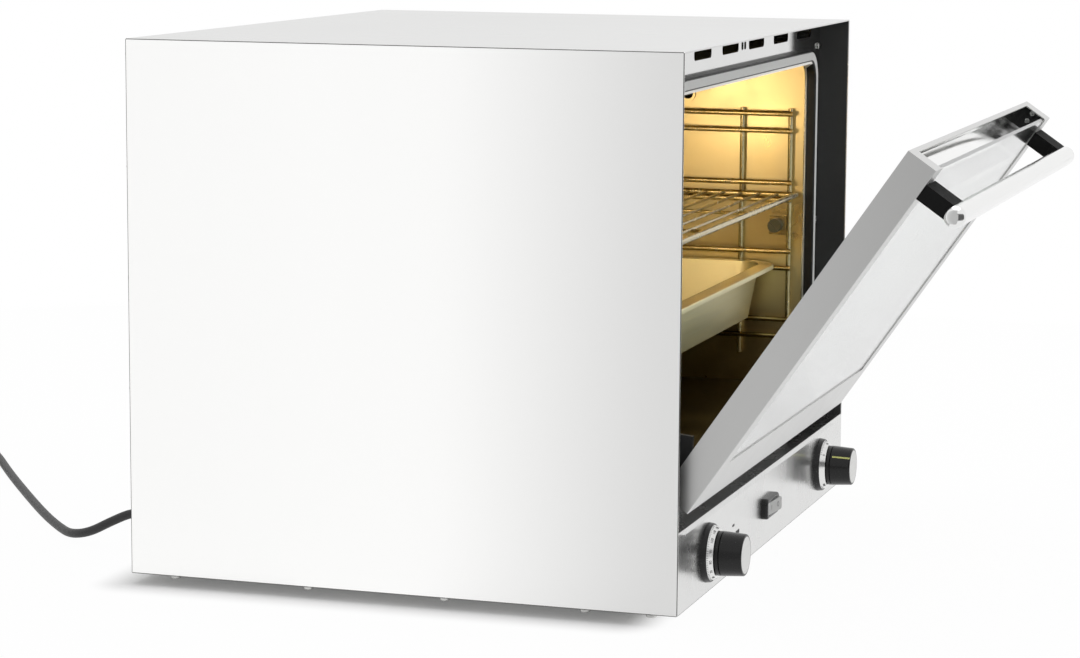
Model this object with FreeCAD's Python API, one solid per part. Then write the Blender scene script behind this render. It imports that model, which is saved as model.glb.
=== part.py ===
import FreeCAD, Part
import math
import os

# Countertop convection oven with a drop-down glass door standing ajar.
# Millimetres, +Z up, front towards -Y, origin on the floor under the middle of the casing.

V = FreeCAD.Vector

# Casing
casingWidth = 740.0
casingDepth = 592.0
casingHeight = 558.0
sheet = 1.5
sheetEdgeRound = 1.2
flangeWidth = 16.0
recessDepth = 35.0
linerSheet = 1.0
linerSetback = 1.0
footHeight = 12.0
footRadius = 18.0
footTaper = 3.0
footInset = 75.0

# Front frame round the chamber mouth
mouthSideBorder = 71.5
mouthSill = 46.0
mouthTopBorder = 46.0
mouthCornerRadius = 22.0
slotCount = 6
slotWidth = 69.0
slotHeight = 11.0
slotPitch = 113.5
slotDrop = 13.0
slotCornerRadius = 4.5
pilotHoleWidth = 8.5
pilotHoleHeight = 8.5
pilotHoleSpacing = 12.0

# Door seal
sealWidth = 12.0
sealHeight = 12.0
sealOffset = 1.0
sealGap = 0.3

# Chamber
chamberSheet = 1.0
rearSpace = 115.0
insulationThickness = 30.0
stayWidth = 20.0
stayThickness = 2.0
stayInset = 20.0

# Control panel
panelHeight = 84.0
controlHeight = 42.0
knobInset = 115.0
shaftRadius = 3.0
shaftRunningGap = 0.05
panelHoleGap = 1.5
dialBaseRadius = 31.0
dialBaseHeight = 6.0
dialEdgeRound = 1.6
dialRingRadius = 28.5
dialRingTopRadius = 25.0
dialRingHeight = 6.0
gripRadius = 23.0
gripTopRadius = 21.5
gripLength = 28.0
gripCollar = 4.0
gripCollarGroove = 1.0
gripCollarRound = 0.8
gripEdgeRound = 1.8
capRadius = 19.0
capThickness = 1.2
controlBodyWidth = 48.0
controlBodyHeight = 40.0
controlBodyDepth = 42.0
turnGap = 0.4
switchWidth = 56.0
switchHeight = 23.0
switchProud = 7.0
switchWall = 3.0
switchCornerRadius = 7.0
switchEdgeRound = 2.6
rockerGap = 0.6
rockerTilt = 5.0
rockerProud = 1.6
rockerStem = 12.0
rockerPinRadius = 1.5
rockerPinLength = 2.0

# Door
doorSideGap = 20.0
doorBottomGap = 24.0
doorTopGap = 26.0
doorThickness = 33.0
doorSheet = 1.2
doorEdgeRound = 1.0
doorOpenAngle = 34.5
bottomRail = 58.0
stileWidth = 36.0
glassThickness = 4.0
glassOverlap = 8.0
glassGap = 0.5
innerWindowBorder = 70.0
topFlange = 5.5
topEndFlange = 30.0
channelDrop = 60.0
channelLip = 12.0
hingeRise = 7.0
hingeInset = 17.7
hingePinRadius = 4.0
hingeRunningGap = 0.05
lugThickness = 6.0
lugEyeRadius = 9.0
lugTop = 66.0
lugNose = 7.0
lugFall = 4.0
lugInset = 22.0
lugFoot = 14.0
lugSideGap = 1.2
hingeBlockHeight = 26.0

# Door handle
handleRadius = 11.0
handleStandoff = 40.0
handleDrop = 25.0
handleEndRound = 9.0
handleOverhang = 6.5
bracketWidth = 45.0
bracketHeight = 17.0

# Fan, heater, lamp
fanRadius = 95.0
fanHubRadius = 15.0
fanHubLength = 22.0
fanDiscThickness = 1.5
fanBladeCount = 10
fanBladeWidth = 45.0
fanBladeLength = 34.0
fanBladeThickness = 1.5
fanWallGap = 12.0
fanShaftRadius = 4.0
motorRadius = 44.0
motorLength = 62.0
motorBossRadius = 20.0
guardThickness = 1.2
guardGap = 10.0
guardWidth = 380.0
guardHeight = 300.0
guardPostRadius = 5.0
guardHoleRadius = 7.0
guardRings = 3
guardRingPitch = 26.0
heaterTubeRadius = 4.0
heaterGap = 14.0
heaterTurnPitch = 20.0
heaterOpening = 15.0
lampRadius = 26.0
lampBezelWidth = 7.0
lampBezelThickness = 4.0
lampDepth = 40.0
lampWall = 2.0
lampFromBack = 256.0
lampFromRoof = 86.0
lensThickness = 3.0
lensRise = 2.2
bulbRadius = 6.0
probeRadius = 3.0
probeLength = 130.0
probeFromSide = 45.0
ventRadius = 6.0
ventCollarRadius = 9.0
ventCollarHeight = 3.0
ventFromFrame = 142.0
ventFromRoof = 42.0

# Racks, shelf, pan
railRadius = 3.0
rackWallGap = 2.0
levelCount = 4
levelPitch = 81.0
firstLevel = 57.0
guideRise = 20.0
rackFrontGap = 10.5
rackRearGap = 8.0
rackPostInset = 4.0
rackPostSpread = 58.0
rackTail = 22.0
nutRadius = 8.0
nutThickness = 10.0
nutSlot = 1.6
nutLevelDrop = 31.0
nutFromPost = 16.0
strapThickness = 2.0
strapHeight = 22.0
studRadius = 3.0
slideGap = 0.3
shelfLevel = 2
panLevel = 1
trayInset = 9.5
shelfBarRadius = 3.5
shelfWireRadius = 1.75
shelfCrossRadius = 2.0
shelfWirePitch = 22.0
shelfFrontGap = 2.0
shelfDepth = 352.0
panFrontGap = 22.0
panDepth = 336.0
panHeight = 62.0
panSheet = 1.0
panRim = 17.0
panLip = 4.0
panLipHeight = 5.0
panTaper = 10.0
panCornerRadius = 26.0

# Fasteners and electrical parts
screwHeadRadius = 4.5
screwHeadHeight = 2.6
screwShankRadius = 2.0
screwShankLength = 8.0
screwEdge = 9.0
rearScrewCount = 5
rearScrewPitch = 115.5
rearScrewTop = 16.0
baseScrewCount = 4
baseScrewPitch = 149.0
baseScrewRear = 48.0
frameScrewDrops = (31.0, 238.0)
frameScrewEdge = 14.0
terminalWidth = 70.0
terminalDepth = 24.0
terminalHeight = 22.0
ventSlotCount = 14
ventSlotPitch = 16.0
ventSlotWidth = 5.0
ventSlotHeight = 90.0

# Mains lead
cordRadius = 5.0
glandX = -210.0
glandHeight = 42.0
glandFlangeRadius = 15.0
glandFlangeThickness = 5.0
glandLength = 44.0
glandRootRadius = 11.0
glandTipRadius = 7.0
glandNeckRadius = 9.0
cordDropBends = ((0.0, 26.0, 0.0), (0.0, 55.0, 13.0), (2.0, 83.0, 28.0), (15.0, 112.0, 35.0))
cordFloorBends = ((47.0, 141.0), (106.0, 190.0), (200.0, 260.0), (320.0, 347.0),
                  (431.0, 423.0), (510.0, 488.0))
coilRadius = 55.0
coilStep = 10.7
coilTurns = 3
cordTail = 25.0
tieThickness = 1.0
tieWidth = 12.0
tieGap = 0.9
plugReliefLength = 36.0
plugReliefRadius = 8.5
plugLength = 38.0
plugRadius = 15.5
plugPinRadius = 2.4
plugPinLength = 19.0
plugPinSpacing = 19.0

# Planes worked out from the sizes above
xOuter = casingWidth / 2
xInner = xOuter - sheet
yFront = -casingDepth / 2
yRear = casingDepth / 2
zBase = footHeight
zTop = zBase + casingHeight
yFrame = yFront + recessDepth
yFrameBack = yFrame + sheet
zPanelTop = zBase + panelHeight
zControls = zBase + controlHeight
xMouth = xOuter - mouthSideBorder
zMouthLow = zPanelTop + mouthSill
zMouthHigh = zTop - mouthTopBorder
yBack = yRear - rearSpace
zFan = (zMouthLow + zMouthHigh) / 2
yGuard = yBack - fanWallGap - fanBladeWidth - guardGap
xDoor = xOuter - doorSideGap
zDoorLow = zPanelTop + doorBottomGap
zDoorHigh = zTop - doorTopGap
yDoorIn = yFrame - sealHeight - sealGap
yDoorOut = yDoorIn - doorThickness
yHinge = yDoorIn - hingeInset
zHinge = zDoorLow + hingeRise
xRackPost = xMouth - rackWallGap - railRadius
xRail = xRackPost - 2 * railRadius
xTray = xMouth - trayInset
xKnob = xOuter - knobInset
zFirstRail = zMouthLow + firstLevel


def box(x0, x1, y0, y1, z0, z1):
    return Part.makeBox(x1 - x0, y1 - y0, z1 - z0, V(x0, y0, z0))


def rodX(x0, x1, y, z, radius):
    return Part.makeCylinder(radius, x1 - x0, V(x0, y, z), V(1, 0, 0))


def rodY(y0, y1, x, z, radius):
    return Part.makeCylinder(radius, y1 - y0, V(x, y0, z), V(0, 1, 0))


def rodZ(z0, z1, x, y, radius):
    return Part.makeCylinder(radius, z1 - z0, V(x, y, z0), V(0, 0, 1))


def coneY(y0, y1, x, z, radius0, radius1):
    return Part.makeCone(radius0, radius1, y1 - y0, V(x, y0, z), V(0, 1, 0))


def fused(shapes):
    return shapes[0].multiFuse(shapes[1:]).removeSplitter()


def mirrored(shape):
    return shape.mirror(V(0, 0, 0), V(1, 0, 0))


def group(shapes):
    return Part.makeCompound(shapes)


def roundedLoop(halfX, halfZ, radius, y, zMid):
    # A rounded rectangle in the XZ plane, as lines and quarter arcs.
    edges = []
    corners = [(1, 1, 0), (-1, 1, 90), (-1, -1, 180), (1, -1, 270)]
    ends = []
    for sx, sz, start in corners:
        cx = sx * (halfX - radius)
        cz = zMid + sz * (halfZ - radius)
        spots = []
        for turn in (0, 45, 90):
            a = math.radians(start + turn)
            spots.append(V(cx + radius * math.cos(a), y, cz + radius * math.sin(a)))
        ends.append(spots)
    for i in range(4):
        edges.append(Part.Arc(*ends[i]).toShape())
        edges.append(Part.makeLine(ends[i][2], ends[(i + 1) % 4][0]))
    return Part.Wire(edges)


def roundedBlock(halfX, halfZ, radius, y0, y1, zMid, xMid=0.0):
    face = Part.Face(roundedLoop(halfX, halfZ, radius, y0, zMid))
    block = face.extrude(V(0, y1 - y0, 0))
    block.translate(V(xMid, 0, 0))
    return block


def plateX(points, x0, x1):
    # A flat plate standing in the YZ plane, from its outline.
    spots = [V(x0, y, z) for y, z in points]
    face = Part.Face(Part.makePolygon(spots + spots[:1]))
    return face.extrude(V(x1 - x0, 0, 0))


def opened(shape):
    turned = shape.copy()
    turned.rotate(V(0, yHinge, zHinge), V(1, 0, 0), doorOpenAngle)
    return turned


def save(name, shape):
    shape.exportStep("parts/%s.step" % name)


# Outer casing

def sidePanel():
    skin = box(xInner, xOuter, yFront, yRear, zBase, zTop)
    skin = skin.makeFillet(sheetEdgeRound, [e for e in skin.Edges if abs(e.CenterOfMass.x - xOuter) < 1e-6])
    yFold = yRear - 2 * sheet
    xFold = xInner - flangeWidth
    low = box(xFold, xInner, yFrameBack, yFold, zBase + sheet, zBase + 2 * sheet)
    rear = box(xFold, xInner, yFold, yRear - sheet, zBase + sheet, zTop - 3 * sheet)
    panel = fused([skin, low, rear])
    for y, z, axis in casingScrewSpots():
        panel = panel.cut(shankHole(y, z, axis))
    return panel


def casingScrewSpots():
    spots = []
    for i in range(rearScrewCount):
        spots.append((yRear, zTop - rearScrewTop - i * rearScrewPitch, V(0, -1, 0)))
    for i in range(baseScrewCount):
        spots.append((yRear - baseScrewRear - i * baseScrewPitch, zBase, V(0, 0, 1)))
    return spots


def shankHole(y, z, axis):
    return Part.makeCylinder(screwShankRadius, screwShankLength, V(xOuter - screwEdge, y, z), axis)


def panHeadScrew(spot, inward):
    head = Part.makeCylinder(screwHeadRadius, screwHeadHeight, spot, inward * -1)
    rims = [e for e in head.Edges if len(e.Vertexes) == 1]
    top = max(rims, key=lambda e: (e.CenterOfMass - spot).Length)
    head = head.makeFillet(screwHeadHeight * 0.6, [top])
    return head.fuse(Part.makeCylinder(screwShankRadius, screwShankLength, spot, inward)).removeSplitter()


def casingScrewList():
    screws = []
    for y, z, axis in casingScrewSpots():
        screw = panHeadScrew(V(xOuter - screwEdge, y, z), axis)
        screws.append(screw)
        screws.append(mirrored(screw))
    return screws


def topPanel():
    skin = box(-xInner, xInner, yFront, yRear, zTop - sheet, zTop)
    parts = [skin]
    for side in (-1, 1):
        x0, x1 = sorted((side * xInner, side * (xInner - sheet)))
        parts.append(box(x0, x1, yFrameBack, yRear - 3 * sheet, zTop - sheet - flangeWidth, zTop - sheet))
    return fused(parts)


def rearPanel():
    panel = box(-xInner, xInner, yRear - sheet, yRear, zBase, zTop - sheet)
    span = (ventSlotCount - 1) * ventSlotPitch
    cuts = []
    for i in range(ventSlotCount):
        x = -span / 2 + i * ventSlotPitch
        cuts.append(roundedBlock(ventSlotWidth / 2, ventSlotHeight / 2, ventSlotWidth * 0.49,
                                 yRear - 2 * sheet, yRear + sheet, zFan, x))
    cuts.append(rodY(yRear - 2 * sheet, yRear + sheet, glandX, glandHeight, glandNeckRadius))
    for y, z, axis in casingScrewSpots()[:rearScrewCount]:
        hole = shankHole(y, z, axis)
        cuts.append(hole)
        cuts.append(mirrored(hole))
    return panel.cut(Part.makeCompound(cuts))


def basePlate():
    plate = box(-xInner, xInner, yFront + sheet, yRear - sheet, zBase, zBase + sheet)
    for y, z, axis in casingScrewSpots()[rearScrewCount:]:
        hole = shankHole(y, z, axis)
        plate = plate.cut(hole).cut(mirrored(hole))
    return plate


def feet():
    pads = []
    for sx in (-1, 1):
        for sy in (-1, 1):
            spot = V(sx * (xOuter - footInset), sy * (casingDepth / 2 - footInset), 0)
            pads.append(Part.makeCone(footRadius - footTaper, footRadius, footHeight, spot, V(0, 0, 1)))
    return group(pads)


def recessLiner():
    return box(xInner - linerSheet, xInner, yFront + linerSetback, yFrame, zPanelTop, zTop - sheet)


def frontFrame():
    plate = box(-xInner, xInner, yFrame, yFrameBack, zPanelTop, zTop - sheet)
    past = sheet
    cuts = [roundedBlock(xMouth, (zMouthHigh - zMouthLow) / 2, mouthCornerRadius,
                         yFrame - past, yFrameBack + past, zFan)]
    zSlot = zTop - slotDrop
    for i in range(slotCount):
        x = (i - (slotCount - 1) / 2) * slotPitch
        cuts.append(roundedBlock(slotWidth / 2, slotHeight / 2, slotCornerRadius,
                                 yFrame - past, yFrameBack + past, zSlot, x))
    for side in (-1, 1):
        cuts.append(roundedBlock(pilotHoleWidth / 2, pilotHoleHeight / 2, slotCornerRadius / 2,
                                 yFrame - past, yFrameBack + past, zSlot, side * pilotHoleSpacing / 2))
    for screw in frameScrewList():
        cuts.append(screw)
    return plate.cut(Part.makeCompound(cuts))


def frameScrewList():
    screws = []
    for drop in frameScrewDrops:
        screw = panHeadScrew(V(xOuter - frameScrewEdge, yFrame, zTop - drop), V(0, 1, 0))
        screws.append(screw)
        screws.append(mirrored(screw))
    return screws


def doorSeal():
    halfZ = (zMouthHigh - zMouthLow) / 2
    inner = sealOffset
    outer = sealOffset + sealWidth
    ring = roundedBlock(xMouth + outer, halfZ + outer, mouthCornerRadius + outer,
                        yFrame - sealHeight, yFrame, zFan)
    hole = roundedBlock(xMouth + inner, halfZ + inner, mouthCornerRadius + inner,
                        yFrame - 2 * sealHeight, yFrame + sealHeight, zFan)
    ring = ring.cut(hole)
    crest = [e for e in ring.Edges if abs(e.CenterOfMass.y - (yFrame - sealHeight)) < 1e-6]
    return ring.makeFillet(sealWidth * 0.45, crest)


# Chamber

def chamberFloor():
    return box(-xMouth, xMouth, yFrameBack, yBack, zMouthLow - chamberSheet, zMouthLow)


def chamberRoof():
    return box(-xMouth, xMouth, yFrameBack, yBack, zMouthHigh, zMouthHigh + chamberSheet)


def rackStudSpots():
    z = zFirstRail + shelfLevel * levelPitch - nutLevelDrop
    return [(yRackFront() + rackPostInset + nutFromPost, z), (yRackRear() - rackPostInset - nutFromPost, z)]


def chamberSideWall(side):
    x0, x1 = sorted((side * xMouth, side * (xMouth + chamberSheet)))
    wall = box(x0, x1, yFrameBack, yBack, zMouthLow - chamberSheet, zMouthHigh + chamberSheet)
    past = chamberSheet
    cuts = [rodX(x0 - past, x1 + past, y, z, studRadius + shaftRunningGap) for y, z in rackStudSpots()]
    if side < 0:
        cuts.append(rodX(x0 - past, x1 + past, yLamp(), zLamp(), lampRadius))
    else:
        cuts.append(rodX(x0 - past, x1 + past, yVent(), zVent(), ventRadius + chamberSheet))
    return wall.cut(Part.makeCompound(cuts))


def chamberBackWall():
    half = xMouth + chamberSheet
    wall = box(-half, half, yBack, yBack + chamberSheet, zMouthLow - chamberSheet, zMouthHigh + chamberSheet)
    cuts = [rodY(yBack - 1, yBack + 2 * chamberSheet, 0, zFan, fanShaftRadius + panelHoleGap)]
    for x, z in heaterLegSpots():
        cuts.append(rodY(yBack - 1, yBack + 2 * chamberSheet, x, z, heaterTubeRadius))
    return wall.cut(Part.makeCompound(cuts))


def insulation():
    near = xMouth + chamberSheet
    far = near + insulationThickness
    low = zMouthLow - chamberSheet
    high = zMouthHigh + chamberSheet
    back = yBack + chamberSheet
    left = box(-far, -near, yFrameBack, back, low, high)
    left = left.cut(rodX(-far - 1, -near + 1, yLamp(), zLamp(), lampRadius + turnGap))
    right = box(near, far, yFrameBack, back, low, high)
    right = right.cut(rodX(near - 1, far + 1, yVent(), zVent(), ventRadius + chamberSheet))
    for y, z in rackStudSpots():
        stud = rodX(near - 1, far + 1, y, z, studRadius + turnGap)
        right = right.cut(stud)
        left = left.cut(mirrored(stud))
    roof = box(-far, far, yFrameBack, back, high, zTop - slotDrop - slotHeight)
    floor = box(-far, far, yFrameBack, back, low - insulationThickness, low)
    rear = box(-near, near, back, back + insulationThickness, low, high)
    rear = rear.cut(rodY(back - 1, back + insulationThickness + 1, 0, zFan, motorBossRadius + turnGap))
    for x, z in heaterLegSpots():
        rear = rear.cut(rodY(back - 1, back + insulationThickness + 1, x, z, heaterTubeRadius + turnGap))
    for stay in stayList():
        rear = rear.cut(stay)
    return group([left, right, roof, floor, rear])


def stayList():
    stays = []
    y0 = yBack + chamberSheet
    y1 = yRear - sheet
    for sx in (-1, 1):
        for z in (zMouthLow + stayInset, zMouthHigh - stayInset - stayThickness):
            x = sx * (xMouth - stayInset - stayWidth / 2)
            stays.append(box(x - stayWidth / 2, x + stayWidth / 2, y0, y1, z, z + stayThickness))
    return stays


# Fan, heater, lamp, probe and vent

def motorFront():
    return yBack + chamberSheet


def fanMotor():
    bossEnd = motorFront() + insulationThickness
    boss = rodY(motorFront(), bossEnd, 0, zFan, motorBossRadius)
    body = rodY(bossEnd, bossEnd + motorLength, 0, zFan, motorRadius)
    bore = rodY(motorFront() - 1, bossEnd + motorLength / 2, 0, zFan, fanShaftRadius + shaftRunningGap)
    return boss.fuse(body).removeSplitter().cut(bore)


def fanShaft():
    shaftEnd = motorFront() + insulationThickness + motorLength / 2 - 1
    return rodY(yBack - fanWallGap - fanHubLength, shaftEnd, 0, zFan, fanShaftRadius)


def fanImpeller():
    yDisc = yBack - fanWallGap - fanDiscThickness
    disc = rodY(yDisc, yDisc + fanDiscThickness, 0, zFan, fanRadius)
    hub = rodY(yDisc + fanDiscThickness - fanHubLength, yDisc, 0, zFan, fanHubRadius)
    parts = [disc, hub]
    for i in range(fanBladeCount):
        blade = box(fanRadius - fanBladeLength, fanRadius, yDisc - fanBladeWidth + fanDiscThickness, yDisc,
                    zFan - fanBladeThickness / 2, zFan + fanBladeThickness / 2)
        blade = blade.common(rodY(yDisc - fanBladeWidth, yDisc, 0, zFan, fanRadius))
        blade.rotate(V(0, 0, zFan), V(0, 1, 0), i * 360.0 / fanBladeCount)
        parts.append(blade)
    return fused(parts).cut(rodY(yDisc - fanHubLength, yBack, 0, zFan, fanShaftRadius))


def fanGuard():
    plate = roundedBlock(guardWidth / 2, guardHeight / 2, mouthCornerRadius,
                         yGuard - guardThickness, yGuard, zFan)
    holes = [rodY(yGuard - 2 * guardThickness, yGuard + guardThickness, 0, zFan, guardHoleRadius)]
    for ring in range(1, guardRings + 1):
        count = 6 * ring
        for i in range(count):
            a = 2 * math.pi * i / count
            r = ring * guardRingPitch
            holes.append(rodY(yGuard - 2 * guardThickness, yGuard + guardThickness,
                              r * math.cos(a), zFan + r * math.sin(a), guardHoleRadius))
    plate = plate.cut(Part.makeCompound(holes))
    posts = []
    for sx in (-1, 1):
        for sz in (-1, 1):
            x = sx * (guardWidth / 2 - mouthCornerRadius)
            z = zFan + sz * (guardHeight / 2 - mouthCornerRadius)
            posts.append(rodY(yGuard, yBack, x, z, guardPostRadius))
    return fused([plate] + posts)


def heaterRadius():
    return fanRadius + heaterGap + heaterTubeRadius


def heaterLegSpots():
    # The two legs drop through the gap left at the bottom of the rings.
    spots = []
    for angle in (270.0, 270.0 + heaterOpening):
        a = math.radians(angle)
        spots.append((heaterRadius() * math.cos(a), zFan + heaterRadius() * math.sin(a)))
    return spots


def heaterRing(y, start, end):
    a = math.radians(start)
    spot = V(heaterRadius() * math.cos(a), y, zFan + heaterRadius() * math.sin(a))
    along = V(-math.sin(a), 0, math.cos(a))
    section = Part.Face(Part.Wire(Part.makeCircle(heaterTubeRadius, spot, along)))
    return section.revolve(V(0, y, zFan), V(0, -1, 0), end - start)


def heatingElement():
    yNear = yBack - fanWallGap - 2 * heaterTubeRadius
    yFar = yNear - heaterTurnPitch
    stop = 270.0 - heaterOpening + 360.0
    legEnd = yBack + chamberSheet + insulationThickness + 2 * heaterTubeRadius
    (farX, farZ), (nearX, nearZ) = heaterLegSpots()
    a = math.radians(stop)
    linkX = heaterRadius() * math.cos(a)
    linkZ = zFan + heaterRadius() * math.sin(a)
    parts = [heaterRing(yNear, 270.0 + heaterOpening, stop), heaterRing(yFar, 270.0, stop)]
    parts.append(rodY(yNear, legEnd, nearX, nearZ, heaterTubeRadius))
    parts.append(rodY(yFar, legEnd, farX, farZ, heaterTubeRadius))
    parts.append(rodY(yFar, yNear, linkX, linkZ, heaterTubeRadius))
    for x, y, z in ((nearX, yNear, nearZ), (farX, yFar, farZ), (linkX, yNear, linkZ), (linkX, yFar, linkZ)):
        parts.append(Part.makeSphere(heaterTubeRadius, V(x, y, z)))
    return fused(parts)


def yLamp():
    return yBack - lampFromBack


def zLamp():
    return zMouthHigh - lampFromRoof


def lampHolder():
    face = -xMouth
    bezel = rodX(face, face + lampBezelThickness, yLamp(), zLamp(), lampRadius + lampBezelWidth)
    can = rodX(face - lampDepth, face, yLamp(), zLamp(), lampRadius)
    past = face + 2 * lampBezelThickness
    hollow = rodX(face - lampDepth + lampWall, past, yLamp(), zLamp(), lampRadius - lampWall)
    seat = rodX(face + lampBezelThickness - lensThickness, past, yLamp(), zLamp(), lampRadius)
    return bezel.fuse(can).removeSplitter().cut(hollow).cut(seat)


def lampLens():
    x = -xMouth + lampBezelThickness - lensThickness
    lens = rodX(x, x + lensThickness, yLamp(), zLamp(), lampRadius - shaftRunningGap)
    face = x + lensThickness
    ball = (lampRadius ** 2 + lensRise ** 2) / (2 * lensRise)
    dome = Part.makeSphere(ball, V(face + lensRise - ball, yLamp(), zLamp()))
    dome = dome.common(rodX(face, face + lensRise, yLamp(), zLamp(), lampRadius - lampWall))
    return lens.fuse(dome).removeSplitter()


def lampBulb():
    x = -xMouth - lampDepth + lampWall
    stem = rodX(x, x + lampDepth / 2, yLamp(), zLamp(), bulbRadius)
    return stem.fuse(Part.makeSphere(bulbRadius, V(x + lampDepth / 2, yLamp(), zLamp()))).removeSplitter()


def temperatureProbe():
    x = -xMouth + probeFromSide
    y = yBack - 2 * probeRadius
    z0 = zFan - probeLength / 2
    rod = rodZ(z0, z0 + probeLength, x, y, probeRadius)
    parts = [rod]
    for share in (0.2, 0.8):
        z = z0 + share * probeLength
        parts.append(box(x - 2 * probeRadius, x + 2 * probeRadius, y, yBack, z, z + probeRadius * 2))
    return fused(parts)


def yVent():
    return yFrame + ventFromFrame


def zVent():
    return zMouthHigh - ventFromRoof


def ventBush():
    collar = rodX(xMouth - ventCollarHeight, xMouth, yVent(), zVent(), ventCollarRadius)
    outlet = xMouth + chamberSheet + insulationThickness
    tube = rodX(xMouth, outlet, yVent(), zVent(), ventRadius + chamberSheet)
    bore = rodX(xMouth - 2 * ventCollarHeight, xInner, yVent(), zVent(), ventRadius)
    return collar.fuse(tube).removeSplitter().cut(bore)


# Racks, shelf and pan

def yRackFront():
    return yFrameBack + rackFrontGap


def yRackRear():
    return yGuard - guardThickness - rackRearGap


def rack():
    rails = []
    y0 = yRackFront()
    y1 = yRackRear()
    for level in range(levelCount):
        for rise in (0.0, guideRise):
            rails.append(rodY(y0, y1, xRail, zFirstRail + level * levelPitch + rise, railRadius))
    zLow = zFirstRail - rackTail
    zHigh = zFirstRail + (levelCount - 1) * levelPitch + guideRise + 2 * railRadius
    front = y0 + rackPostInset
    rear = y1 - rackPostInset
    posts = []
    for y in (front + rackPostSpread, rear - rackPostSpread):
        posts.append(rodZ(zLow, zHigh, xRackPost, y, railRadius))
    xStrap = xRackPost + railRadius - strapThickness
    for y, nutY in zip((front, rear), [spot[0] for spot in rackStudSpots()]):
        post = rodZ(zLow, zHigh, xRackPost, y, railRadius)
        nutZ = rackStudSpots()[0][1]
        ya, yb = sorted((y, nutY + math.copysign(nutRadius, nutY - y)))
        strap = box(xStrap, xStrap + strapThickness, ya, yb, nutZ - strapHeight / 2, nutZ + strapHeight / 2)
        hole = rodX(xStrap - 1, xMouth, nutY, nutZ, studRadius + shaftRunningGap)
        posts.append(post.fuse(strap).removeSplitter().cut(hole))
    return group(rails + posts)


def rackNuts():
    nuts = []
    xSeat = xRackPost + railRadius - strapThickness
    for y, z in rackStudSpots():
        head = rodX(xSeat - nutThickness, xSeat, y, z, nutRadius)
        slot = box(xSeat - nutThickness - 1, xSeat - nutThickness + nutSlot, y - nutRadius, y + nutRadius,
                   z - nutSlot / 2, z + nutSlot / 2)
        slot.rotate(V(0, y, z), V(1, 0, 0), 45)
        stud = rodX(xSeat, xMouth + chamberSheet + insulationThickness / 2, y, z, studRadius)
        nut = head.cut(slot).fuse(stud).removeSplitter()
        nuts.append(nut)
        nuts.append(mirrored(nut))
    return group(nuts)


def wireShelf():
    xBar = xTray - shelfBarRadius
    reach = railRadius + shelfBarRadius + slideGap
    z = zFirstRail + shelfLevel * levelPitch + math.sqrt(reach ** 2 - (xRail - xBar) ** 2)
    y0 = yFrameBack + shelfFrontGap + shelfBarRadius
    y1 = y0 + shelfDepth - 2 * shelfBarRadius
    parts = [rodX(-xBar, xBar, y0, z, shelfBarRadius), rodX(-xBar, xBar, y1, z, shelfBarRadius)]
    for x in (-xBar, xBar):
        parts.append(rodY(y0, y1, x, z, shelfBarRadius))
        for y in (y0, y1):
            parts.append(Part.makeSphere(shelfBarRadius, V(x, y, z)))
    count = int((y1 - y0) / shelfWirePitch)
    for i in range(1, count + 1):
        y = y0 + i * (y1 - y0) / (count + 1)
        parts.append(rodX(-xBar, xBar, y, z, shelfWireRadius))
    for x in (-xBar / 3, xBar / 3):
        parts.append(rodY(y0, y1, x, z - shelfWireRadius - shelfCrossRadius / 2, shelfCrossRadius))
    return fused(parts)


def panLoop(inset, radius, y0, y1, z):
    loop = roundedLoop(xTray - inset, (y1 - y0) / 2 - inset, radius, 0, 0)
    loop.rotate(V(0, 0, 0), V(1, 0, 0), -90)
    loop.translate(V(0, (y0 + y1) / 2, z))
    return loop


def panRing(y0, y1, zSeat):
    # The flat rim round the pan's mouth with its turned-down lip.
    corner = panCornerRadius + panRim
    flat = panLipHeight - panSheet
    block = Part.Face(panLoop(0, corner, y0, y1, zSeat)).extrude(V(0, 0, panLipHeight))
    crest = [e for e in block.Edges if e.BoundBox.ZMin > zSeat + flat]
    block = block.makeFillet(panLip * 0.45, crest)
    under = Part.Face(panLoop(panLip, corner - panLip, y0, y1, zSeat)).extrude(V(0, 0, flat))
    mouth = Part.Face(panLoop(panRim + panSheet / 2, panCornerRadius, y0, y1, zSeat))
    return block.cut(under).cut(mouth.extrude(V(0, 0, panLipHeight)))


def panBowl(inset, radius, y0, y1, zLow, zHigh):
    top = panLoop(panRim + inset, radius, y0, y1, zHigh)
    low = panLoop(panRim + panTaper + inset, radius, y0, y1, zLow)
    return Part.makeLoft([top, low], True, True)


def bakingPan():
    zSeat = zFirstRail + panLevel * levelPitch + railRadius + slideGap
    zRim = zSeat + panLipHeight
    zLow = zRim - panHeight
    y0 = yFrameBack + panFrontGap
    y1 = y0 + panDepth
    outer = panBowl(0, panCornerRadius, y0, y1, zLow, zRim)
    hollow = panBowl(panSheet, panCornerRadius - panSheet, y0, y1, zLow + panSheet, zRim)
    return fused([outer.cut(hollow), panRing(y0, y1, zSeat)])


# Control panel, knobs and switch

def controlPanel():
    front = box(-xInner, xInner, yFront, yFront + sheet, zBase, zPanelTop)
    shelf = box(-xInner, xInner, yFront + sheet, yFrameBack, zPanelTop - sheet, zPanelTop)
    panel = fused([front, shelf])
    folds = [e for e in panel.Edges if abs(e.CenterOfMass.y - yFront) < 1e-6 and abs(e.CenterOfMass.x) < 1e-6]
    panel = panel.makeFillet(sheetEdgeRound, folds)
    for side in (-1, 1):
        panel = panel.cut(rodY(yFront - 1, yFront + 2 * sheet, side * xKnob, zControls,
                               shaftRadius + panelHoleGap))
    half = switchWidth / 2 - switchWall
    high = switchHeight / 2 - switchWall
    return panel.cut(roundedBlock(half, high, switchCornerRadius - switchWall,
                                  yFront - 1, yFront + 2 * sheet, zControls))


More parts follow.
